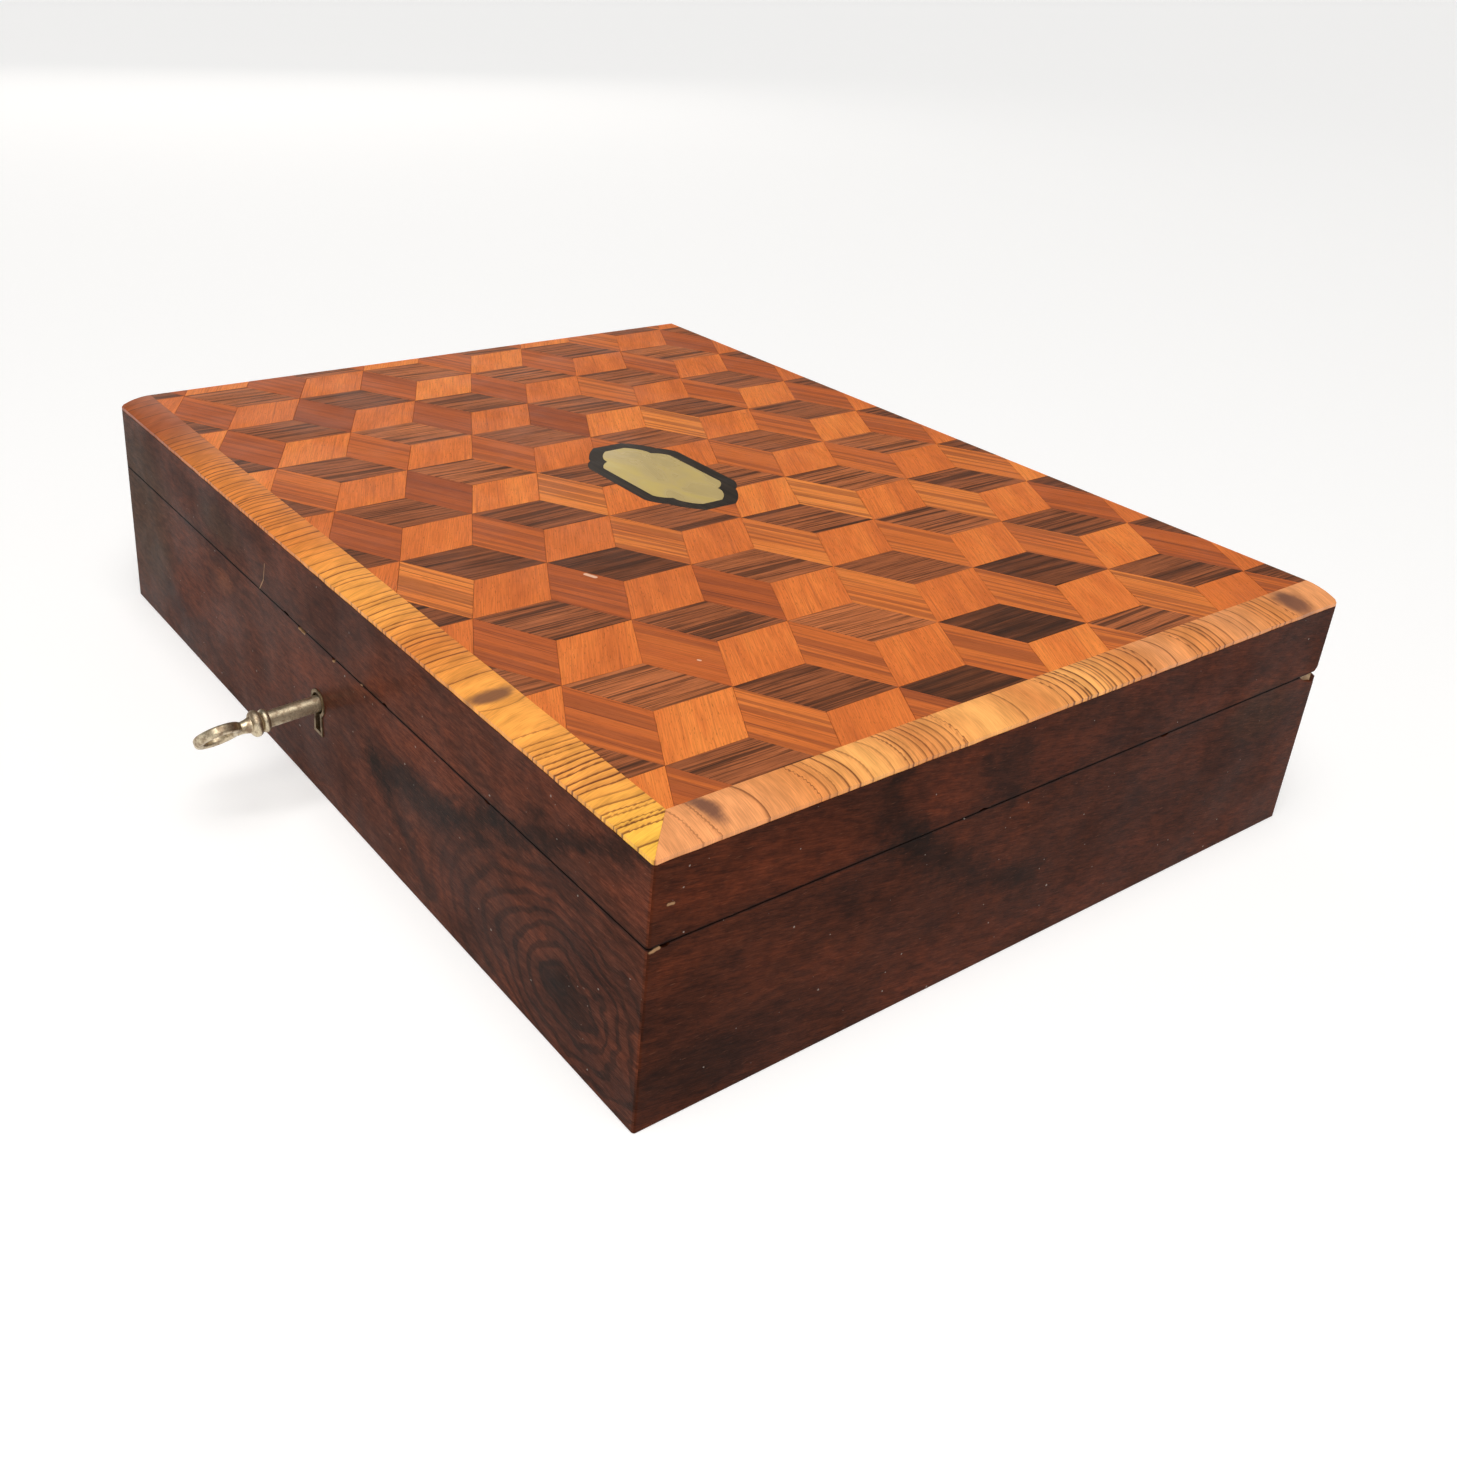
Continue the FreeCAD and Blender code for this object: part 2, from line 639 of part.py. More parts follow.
# ---- hinges ----
def hinge_leaf(x, for_body):
    """A leaf with its own knuckles, cleared round the other leaf's."""
    half = HINGE_L / 2
    z0, z1 = (RIM_Z - LEAF_T, RIM_Z) if for_body else (LID_Z, LID_Z + LEAF_T)
    leaf = block(x - half, x + half, AXIS_Y - HINGE_LEAF_W, AXIS_Y, z0, z1)
    step = HINGE_L / KNUCKLES
    own = []
    for k in range(KNUCKLES):
        low = x - half + k * step
        if (k % 2 == 0) == for_body:
            start = V(low + KNUCKLE_GAP / 2, AXIS_Y, AXIS_Z)
            own.append(rod(start, V(1, 0, 0), KNUCKLE_R, step - KNUCKLE_GAP))
        else:
            start = V(low - KNUCKLE_GAP / 2, AXIS_Y, AXIS_Z)
            room = KNUCKLE_R + KNUCKLE_GAP
            leaf = leaf.cut(rod(start, V(1, 0, 0), room, step + KNUCKLE_GAP))
    leaf = leaf.fuse(own).removeSplitter()
    play = PIN_SEAT if for_body else PIN_PLAY
    bore = rod(V(x - half - 1, AXIS_Y, AXIS_Z), V(1, 0, 0), HINGE_PIN_R + play, HINGE_L + 2)
    places = body_hinge_places if for_body else lid_hinge_places
    return leaf.cut([bore] + screw_holes(places))


for x, hand in zip(hinge_centres(), ("left", "right")):
    save("hinge_" + hand + "_body_leaf", hinge_leaf(x, True))
    save("hinge_" + hand + "_lid_leaf", hinge_leaf(x, False))
    start = V(x - HINGE_L / 2, AXIS_Y, AXIS_Z)
    save("hinge_" + hand + "_pin", rod(start, V(1, 0, 0), HINGE_PIN_R, HINGE_L))
save("body_hinge_screws", screw_group(body_hinge_places))
save("lid_hinge_screws", screw_group(lid_hinge_places))

# ---- lock, fixed pieces ----
back_plate = at_depth(
    -LOCK_PLATE_HALF, LOCK_PLATE_HALF, PLATE_D, SKIN, DRILL_Z - PLATE_BELOW, RIM_Z
)
selvedge = at_depth(-LOCK_PLATE_HALF, LOCK_PLATE_HALF, CAP_D, SKIN, SELVEDGE_Z, RIM_Z)
slots = []
for centre in (-STAPLE_X, STAPLE_X):
    slot_half = STAPLE_T / 2 + STAPLE_PLAY
    slot_d0 = BOLT_MID_D - STAPLE_W / 2 - STAPLE_PLAY
    slot_d1 = BOLT_MID_D + STAPLE_W / 2 + STAPLE_PLAY
    slots.append(
        at_depth(centre - slot_half, centre + slot_half, slot_d0, slot_d1, SELVEDGE_Z - 1, RIM_Z + 1)
    )
drill_start = V(0, FRONT_Y + DRILL_TIP_D, DRILL_Z)
drill_pin = rod(drill_start, V(0, 1, 0), DRILL_PIN_R, SKIN - DRILL_TIP_D)
save("lock_plate", back_plate.fuse(selvedge).removeSplitter().cut(
    slots + screw_holes(lock_places) + [drill_pin]))
save("lock_drill_pin", drill_pin)

cap = at_depth(
    -LOCK_CASE_HALF, LOCK_CASE_HALF, CAP_D, PLATE_D, DRILL_Z - LOCK_BELOW, SELVEDGE_Z
)
cap_inner = LOCK_CASE_HALF - LOCK_CAP_T
cap = cap.cut(
    at_depth(
        -cap_inner, cap_inner, CAP_D + LOCK_CAP_T, PLATE_D,
        DRILL_Z - LOCK_BELOW + LOCK_CAP_T, SELVEDGE_Z,
    )
)
cap_hole = keyhole(
    KEYHOLE_R + LOCK_FIT, KEYHOLE_SLOT, KEYHOLE_SLOT, BIT_R + 1, CAP_D - 1, CAP_D + LOCK_CAP_T + 1
)
save("lock_cap", cap.cut([cap_hole]))


# ---- lock, bolt and spring ----
bolt_d0 = BOLT_MID_D - BOLT_T / 2
bolt_d1 = BOLT_MID_D + BOLT_T / 2
tongue_d0 = BOLT_MID_D - TONGUE_T / 2
tongue_d1 = BOLT_MID_D + TONGUE_T / 2
tongue_z0 = RIM_Z - TONGUE_BELOW_RIM
tongue_z1 = tongue_z0 + TONGUE_H
bar_low = DRILL_Z + BOLT_LOW
bar_top = bar_low + BOLT_H
tongue_parts = []
for centre in (-STAPLE_X, STAPLE_X):
    tip = centre + STAPLE_T / 2 + TONGUE_CLEAR
    riser = centre + STAPLE_T / 2 + STAPLE_PLAY + BOLT_THROW
    riser_end = riser + RISER_W
    tongue_parts.append(at_depth(tip, riser_end, tongue_d0, tongue_d1, tongue_z0, tongue_z1))
    tongue_parts.append(at_depth(riser, riser_end, tongue_d0, tongue_d1, bar_low, tongue_z1))
bar = at_depth(BOLT_FROM, riser_end, bolt_d0, bolt_d1, bar_low, bar_top)
talon = at_depth(NOTCH_FROM, NOTCH_TO, bolt_d0 - 1, bolt_d1 + 1, bar_low - 1, bar_low + NOTCH_H)
save("lock_bolt", bar.fuse(tongue_parts).cut(talon).removeSplitter())

SPRING_T = 0.5
SPRING_W = 2.0
SPRING_GAP = 0.25         # below the bolt, and to the cap
SPRING_BEND_R = 4.0
SPRING_LEAF = 8.5         # straight part
SPRING_FROM_DEG = 125.0
SPRING_TO_DEG = 40.0


def spring_line(radius, bend):
    """One face of the bent leaf: an arc under the bolt, then a straight leg."""
    points = []
    for deg in (SPRING_FROM_DEG, (SPRING_FROM_DEG + SPRING_TO_DEG) / 2, SPRING_TO_DEG):
        angle = math.radians(deg)
        points.append(bend + V(radius * math.cos(angle), 0, radius * math.sin(angle)))
    leg = V(math.sin(angle), 0, -math.cos(angle)) * SPRING_LEAF
    foot = points[2] + leg
    return points[0], foot, [Part.Arc(*points).toShape(), Part.makeLine(points[2], foot)]


reach = SPRING_BEND_R * math.cos(math.radians(SPRING_TO_DEG))
reach += SPRING_LEAF * math.sin(math.radians(SPRING_TO_DEG))
bend_centre = V(cap_inner - SPRING_GAP - reach, 0, bar_low - SPRING_GAP - SPRING_BEND_R)
upper_tip, upper_foot, upper = spring_line(SPRING_BEND_R, bend_centre)
lower_tip, lower_foot, lower = spring_line(SPRING_BEND_R - SPRING_T, bend_centre)
ends = [Part.makeLine(upper_tip, lower_tip), Part.makeLine(upper_foot, lower_foot)]
spring_face = Part.Face(Part.Wire(Part.__sortEdges__(upper + lower + ends)))
spring_face.translate(V(0, FRONT_Y + BOLT_MID_D - SPRING_W / 2, 0))
save("lock_spring", spring_face.extrude(V(0, SPRING_W, 0)))
save("lock_screws", screw_group(lock_places))

# ---- escutcheon ----
escutcheon = escutcheon_outline(-ESCUTCHEON_PROUD, CAP_D - LOCK_FIT)
escutcheon_hole = keyhole(
    KEYHOLE_R, KEYHOLE_SLOT, KEYHOLE_FOOT, KEYHOLE_DROP, -ESCUTCHEON_PROUD - 1, CAP_D
)
save("keyhole_escutcheon", escutcheon.cut(escutcheon_hole).removeSplitter())

# ---- link plate with its two staples ----
link_plate = at_depth(-LINK_HALF, LINK_HALF, link_d0, link_d1, LID_Z, link_top)
staple_d0 = BOLT_MID_D - STAPLE_W / 2
staple_d1 = BOLT_MID_D + STAPLE_W / 2
hole_z0 = tongue_z0 - STAPLE_PLAY
hole_z1 = tongue_z1 + STAPLE_PLAY
hole_half = TONGUE_T / 2 + 0.75 * STAPLE_PLAY
for centre in (-STAPLE_X, STAPLE_X):
    x0 = centre - STAPLE_T / 2
    x1 = centre + STAPLE_T / 2
    staple = at_depth(x0, x1, staple_d0, staple_d1, hole_z0 - STAPLE_WEB, LID_Z)
    hole = at_depth(
        x0 - 1, x1 + 1, BOLT_MID_D - hole_half, BOLT_MID_D + hole_half, hole_z0, hole_z1
    )
    link_plate = link_plate.fuse(staple.cut(hole))
save("link_plate", link_plate.removeSplitter().cut(screw_holes(link_places)))
save("link_plate_screws", screw_group(link_places))


# ---- key ----
def collar(start, length, radius):
    """Half-round moulding between two radii on the shank."""
    end = start + length
    first = V(0, -start, SHANK_R)
    last = V(0, -end, SHANK_R)
    crown = V(0, -(start + end) / 2, radius)
    return [Part.Arc(first, crown, last).toShape()], last


def key_shape():
    """The key along -Y from the front face, its bit and bow upright."""
    rings, place = [], V(0, -COLLAR_AT, SHANK_R)
    for length, radius in RINGS:
        ring, place = collar(-place.y, length, radius)
        rings += ring
    neck_end = V(0, -(KEY_OUT - 2 * BOW_HALF_L + BOW_BAR / 2), NECK_R)
    neck = Part.Arc(place, V(0, (place.y + neck_end.y) / 2, NECK_R + 0.05), neck_end).toShape()
    outline_pts = [neck_end, V(0, neck_end.y, 0), V(0, KEY_IN, 0), V(0, KEY_IN, SHANK_R),
                   V(0, -COLLAR_AT, SHANK_R)]
    lines = Part.makePolygon(outline_pts).Edges
    profile = Part.Face(Part.Wire(Part.__sortEdges__(rings + [neck] + lines)))
    stem = profile.revolve(V(0, 0, 0), V(0, 1, 0), 360)

    centre = V(-BOW_T / 2, -(KEY_OUT - BOW_HALF_L), 0)
    loops = []
    for inset in (0, BOW_BAR):
        across = BOW_HALF_W - inset
        along = BOW_HALF_L - inset
        ellipse = Part.Ellipse(centre + V(0, 0, across), centre + V(0, along, 0), centre)
        loops.append(Part.Face(Part.Wire(ellipse.toShape())).extrude(V(BOW_T, 0, 0)))
    bow = loops[0].cut(loops[1])
    bow = bow.makeFillet(BOW_ROUND, [e for e in bow.Edges if abs(e.BoundBox.XLength) < 1e-3])

    bit = block(-BIT_T / 2, BIT_T / 2, BIT_FROM, BIT_TO, 0, BIT_R)
    ward = block(-BIT_T, BIT_T, BIT_FROM + 1.3, BIT_FROM + 1.9, BIT_R - 2.4, BIT_R + 1)
    bore = rod(V(0, KEY_IN + 1, 0), V(0, -1, 0), BORE_R, BORE_DEEP + 1)
    return stem.fuse([bow, bit.cut(ward)]).cut(bore).removeSplitter()


key = key_shape()
key.rotate(V(0, 0, 0), V(0, 1, 0), KEY_REST_DEG)
key.rotate(V(0, 0, 0), V(1, 0, 0), KEY_SAG_DEG)
key.translate(V(0, FRONT_Y, KEY_Z))
save("key", key)
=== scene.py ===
"""A keyed casket: rosewood veneer, a cube-pattern marquetry lid and a small plaque.

Everything is in metres in the part's own frame: the origin is the middle of the underside,
+X runs along the front to the right, +Y from the lock to the hinges, +Z up.
Lengths written in millimetres are turned into metres by MM.
"""
import json
import math
import random

import bmesh
import bpy
import numpy as np
from mathutils import Matrix, Vector, noise


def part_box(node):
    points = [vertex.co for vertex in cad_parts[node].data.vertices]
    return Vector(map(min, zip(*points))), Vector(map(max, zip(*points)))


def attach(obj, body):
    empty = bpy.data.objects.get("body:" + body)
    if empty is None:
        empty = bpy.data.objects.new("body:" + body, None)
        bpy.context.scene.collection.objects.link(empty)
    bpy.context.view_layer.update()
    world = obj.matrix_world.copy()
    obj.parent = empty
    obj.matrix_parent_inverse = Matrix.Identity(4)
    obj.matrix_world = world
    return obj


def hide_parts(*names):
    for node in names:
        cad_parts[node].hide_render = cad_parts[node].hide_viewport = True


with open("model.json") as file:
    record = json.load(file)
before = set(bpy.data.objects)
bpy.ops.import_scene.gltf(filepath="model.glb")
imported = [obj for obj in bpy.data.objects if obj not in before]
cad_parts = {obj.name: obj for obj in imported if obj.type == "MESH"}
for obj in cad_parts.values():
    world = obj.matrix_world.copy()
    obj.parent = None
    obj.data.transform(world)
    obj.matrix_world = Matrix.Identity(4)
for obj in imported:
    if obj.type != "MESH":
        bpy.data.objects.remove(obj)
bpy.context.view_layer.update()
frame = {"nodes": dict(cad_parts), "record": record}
nodes = frame["nodes"]

MM = 0.001
SIDES = ("front", "right", "back", "left")

# ---- the box, in millimetres ----
HALF_L = 147.5
HALF_D = 113.75
# The lozenges run out to the left and back edges; banding lines only the front and right.
FIELD_EDGES = ((0, 1, 137.46), (0, -1, 147.5), (1, 1, 113.75), (1, -1, 103.71))
FIELD_TOP = 70.4
FIELD_SEAT = 69.4
BAND_W = 10.0
BAND_SEAT = 67.0
BAND_EDGE = 68.0
BAND_CROWN = 0.6
CORNER_R = 0.8
SEAM_MIDDLE = 47.35
PITCH = 38.1
LATTICE_X = -8.5
LATTICE_Y = 4.6
ROW_PITCH = PITCH * math.sqrt(0.75)
JOINT_WANDER = 0.22       # how far a corner of the pattern strays
JOINT_GAP = 0.02          # least distance from a lozenge's edge to the middle of its joint
JOINT_SPREAD = 0.04       # how much wider that distance may be
SOFTENED = 0.04           # width and height of a lozenge's softened upper edge
SLIVER = 0.5              # lozenges cut down to less than this are left out

# ---- the plaque and its frame, in millimetres ----
PLAQUE_HALF_L = 24.7
PLAQUE_HALF_W = 12.6
PLAQUE_FLAT = 12.5        # half length of the straight part of a long side
PLAQUE_END = 3.6          # half width of the straight part of a short side
CUSP_X = 16.8
CUSP_Y = 8.4
CUSP_STEP = 2.2
LOBE_SWELL = 0.42
# How far each of these moves for a millimetre of border.
FLAT_GROWTH = 0.4
CUSP_GROWTH_X = 0.76
CUSP_GROWTH_Y = 0.98
STEP_SHRINK = 0.35
FRAME_BORDER = 4.2
FRAME_PLAY = 0.06


# ======================================================================
# Camera, floor and lights
# ======================================================================
def camera_axes(azimuth, elevation, roll):
    """Right, up and back of a camera that looks at the box from that side."""
    a, e, r = (math.radians(v) for v in (azimuth, elevation, roll))
    back = Vector((math.sin(a) * math.cos(e), -math.cos(a) * math.cos(e), math.sin(e)))
    right = (-back).cross(Vector((0, 0, 1))).normalized()
    up = right.cross(-back)
    turned = math.cos(r) * right + math.sin(r) * up
    return turned, math.cos(r) * up - math.sin(r) * right, back


def add_camera():
    data = bpy.data.cameras.new("camera")
    data.lens = 36.21
    data.sensor_width = 36.0
    data.shift_x = 0.0823
    data.shift_y = -0.0702
    data.clip_start = 0.01
    camera = bpy.data.objects.new("camera", data)
    bpy.context.scene.collection.objects.link(camera)
    axes = camera_axes(azimuth=53.56, elevation=26.54, roll=3.27)
    camera.matrix_world = Matrix(axes).transposed().to_4x4()
    camera.location = (0.31992, -0.25459, 0.22698)
    bpy.context.scene.camera = camera


def add_area(name, at, target, size, watts, colour):
    """A soft rectangular light that the camera doesn't see."""
    data = bpy.data.lights.new(name, "AREA")
    data.shape = "RECTANGLE"
    data.size, data.size_y = size
    data.energy = watts
    data.color = colour
    light = bpy.data.objects.new(name, data)
    light.location = at
    light.rotation_euler = (Vector(target) - Vector(at)).to_track_quat("-Z", "Y").to_euler()
    light.visible_camera = False
    bpy.context.scene.collection.objects.link(light)


def add_studio():
    scene = bpy.context.scene
    scene.view_settings.view_transform = "Standard"
    world = bpy.data.worlds.new("studio")
    world.use_nodes = True
    tree = world.node_tree
    background = tree.nodes["Background"]
    background.inputs["Strength"].default_value = 1.0
    # Pale at the horizon, where the floor ends, and dim overhead.
    place = tree.nodes.new("ShaderNodeTexCoord")
    split = tree.nodes.new("ShaderNodeSeparateXYZ")
    ramp = tree.nodes.new("ShaderNodeValToRGB")
    tree.links.new(place.outputs["Generated"], split.inputs[0])
    tree.links.new(split.outputs["Z"], ramp.inputs["Fac"])
    tree.links.new(ramp.outputs["Color"], background.inputs["Color"])
    ramp.color_ramp.elements[0].position = 0.10
    ramp.color_ramp.elements[0].color = (0.94, 0.94, 0.94, 1)
    ramp.color_ramp.elements[1].position = 0.22
    ramp.color_ramp.elements[1].color = (0.09, 0.09, 0.09, 1)
    scene.world = world
    overhead = bpy.data.lights.new("overhead", "SUN")
    overhead.energy = 2.3
    overhead.angle = math.radians(50)
    overhead.color = (1.0, 0.99, 0.975)
    lamp = bpy.data.objects.new("overhead", overhead)
    lamp.rotation_euler = (math.radians(14), math.radians(16), 0)
    scene.collection.objects.link(lamp)
    add_area(
        "back_left_window", at=(-1.5, 0.45, 0.50), target=(0, 0, 0.05),
        size=(1.1, 0.45), watts=1.3, colour=(1.0, 0.93, 0.86),
    )
    add_area(
        "near_right_lamp", at=(0.55, -0.45, 0.75), target=(0.08, -0.06, 0.05),
        size=(0.4, 0.4), watts=2.4, colour=(1.0, 0.97, 0.93),
    )

    # The floor lies just below the box, and glows a little so that it stays white.
    bpy.ops.mesh.primitive_circle_add(
        vertices=96, radius=30, fill_type="NGON", location=(0, 0, -0.0002)
    )
    floor = bpy.context.object
    floor.name = "floor"
    paint = Graph("floor_paint", roughness=0.9)
    paint.shader("Base Color", (0.93, 0.93, 0.93, 1))
    paint.shader("Specular IOR Level", 0.2)
    paint.shader("Emission Color", (1, 1, 1, 1))
    paint.shader("Emission Strength", 0.14)
    floor.data.materials.append(paint.material)


# ======================================================================
# Building materials
# ======================================================================
class Graph:
    """One material and short calls that add nodes to it. Places and lengths are in millimetres."""

    def __init__(self, name, roughness=0.5, coat=0.0, coat_roughness=0.1, metallic=0.0):
        self.material = bpy.data.materials.new(name)
        self.material.use_nodes = True
        self.tree = self.material.node_tree
        self.surface = self.tree.nodes["Principled BSDF"]
        self.shader("Roughness", roughness)
        self.shader("Metallic", metallic)
        self.shader("Coat Weight", coat)
        self.shader("Coat Roughness", coat_roughness)

    def shader(self, socket, value):
        self.put(self.surface.inputs[socket], value)

    def put(self, socket, value):
        if isinstance(value, bpy.types.NodeSocket):
            self.tree.links.new(value, socket)
        elif socket.type == "RGBA" and len(value) == 3:
            socket.default_value = (*value, 1)
        else:
            socket.default_value = value

    def node(self, kind, inputs, output=0, **settings):
        made = self.tree.nodes.new("ShaderNode" + kind)
        for name, value in settings.items():
            setattr(made, name, value)
        for key, value in inputs.items():
            self.put(made.inputs[key], value)
        return made.outputs[output]

    def math(self, operation, *values, clamp=False):
        return self.node("Math", dict(enumerate(values)), operation=operation, use_clamp=clamp)

    def add(self, a, b):
        return self.math("ADD", a, b)

    def times(self, a, b):
        return self.math("MULTIPLY", a, b)

    def vector(self, operation, *values, output=0):
        return self.node("VectorMath", dict(enumerate(values)), output, operation=operation)

    def place(self):
        """The point on the resting object, in millimetres."""
        spot = self.node("TexCoord", {}, "Object")
        return self.scaled(spot, 1000.0)

    def scaled(self, vector, factor):
        made = self.tree.nodes.new("ShaderNodeVectorMath")
        made.operation = "SCALE"
        self.put(made.inputs[0], vector)
        self.put(made.inputs["Scale"], factor)
        return made.outputs[0]

    def split(self, vector):
        made = self.tree.nodes.new("ShaderNodeSeparateXYZ")
        self.put(made.inputs[0], vector)
        return made.outputs

    def join(self, x, y, z=0.0):
        return self.node("CombineXYZ", {0: x, 1: y, 2: z})

    def stretch(self, vector, along, across, depth=1.0):
        """Noise coordinates: features get 1/along by 1/across millimetres in size."""
        return self.vector("MULTIPLY", vector, (along, across, depth))

    def noise(self, vector, scale=1.0, detail=2.0, rough=0.5, swirl=0.0):
        inputs = {
            "Vector": vector, "Scale": scale, "Detail": detail,
            "Roughness": rough, "Distortion": swirl,
        }
        return self.node("TexNoise", inputs, "Fac")

    def cloud(self, vector, scale=1.0, detail=2.0):
        return self.node("TexNoise", {"Vector": vector, "Scale": scale, "Detail": detail}, "Color")

    def step(self, value, low, high, to_low=0.0, to_high=1.0):
        """Smooth change from to_low at low to to_high at high."""
        inputs = {0: value, 1: low, 2: high, 3: to_low, 4: to_high}
        return self.node("MapRange", inputs, interpolation_type="SMOOTHSTEP")

    def mix(self, factor, a, b, blend="MIX"):
        made = self.tree.nodes.new("ShaderNodeMix")
        made.data_type = "RGBA"
        made.blend_type = blend
        self.put(made.inputs[0], factor)
        self.put(made.inputs[6], a)
        self.put(made.inputs[7], b)
        return made.outputs[2]

    def ramp(self, value, *stops):
        """Colours at positions from 0 to 1."""
        made = self.tree.nodes.new("ShaderNodeValToRGB")
        elements = made.color_ramp.elements
        while len(elements) < len(stops):
            elements.new(0.5)
        for element, (position, colour) in zip(elements, stops):
            element.position = position
            element.color = (*colour, 1)
        self.put(made.inputs[0], value)
        return made.outputs[0]

    def tint(self, colour, amount):
        """Colour made darker or lighter by a factor."""
        return self.mix(1.0, colour, self.join(amount, amount, amount), "MULTIPLY")

    def attribute(self, name, output="Fac"):
        return self.node("Attribute", {}, output, attribute_name=name)

    def bump(self, height, depth, under=None):
        """Relief of that depth in millimetres."""
        made = self.tree.nodes.new("ShaderNodeBump")
        made.inputs["Strength"].default_value = 1.0
        made.inputs["Distance"].default_value = depth * MM
        self.put(made.inputs["Height"], height)
        if under is not None:
            self.put(made.inputs["Normal"], under)
        return made.outputs[0]

    def to_segment(self, vector, a, b):
        """Distance from the straight line between two points."""
        a, b = Vector((*a, 0)[:3]), Vector((*b, 0)[:3])
        run = b - a
        offset = self.vector("SUBTRACT", vector, tuple(a))
        share = self.vector("DOT_PRODUCT", offset, tuple(run / run.length_squared), output="Value")
        share = self.math("ADD", share, 0.0, clamp=True)
        nearest = self.scaled(tuple(run), share)
        return self.vector("DISTANCE", offset, nearest, output="Value")

    def to_line(self, vector, points):
        """Distance from a line through several points."""
        found = None
        for a, b in zip(points, points[1:]):
            one = self.to_segment(vector, a, b)
            found = one if found is None else self.math("MINIMUM", found, one)
        return found


def finish_wood(g, colour, pores, relief=0.03, dull=0.5):
    """Colour, pores and a worn, slightly uneven polish."""
    place = g.place()
    wear = g.noise(place, 0.05, 3.0)
    g.shader("Base Color", colour)
    g.shader("Roughness", g.step(wear, 0.3, 0.7, dull - 0.08, dull + 0.10))
    waves = g.bump(g.noise(place, 0.12, 2.0), 0.10)
    g.shader("Normal", g.bump(pores, relief, waves))


# ======================================================================
# Rosewood
# ======================================================================
BLACK = (0.014, 0.009, 0.007)
DARK = (0.051, 0.019, 0.013)
BROWN = (0.105, 0.038, 0.023)
RED = (0.190, 0.058, 0.030)
MOSS = (0.078, 0.054, 0.036)
PALE_WOOD = (0.42, 0.24, 0.12)


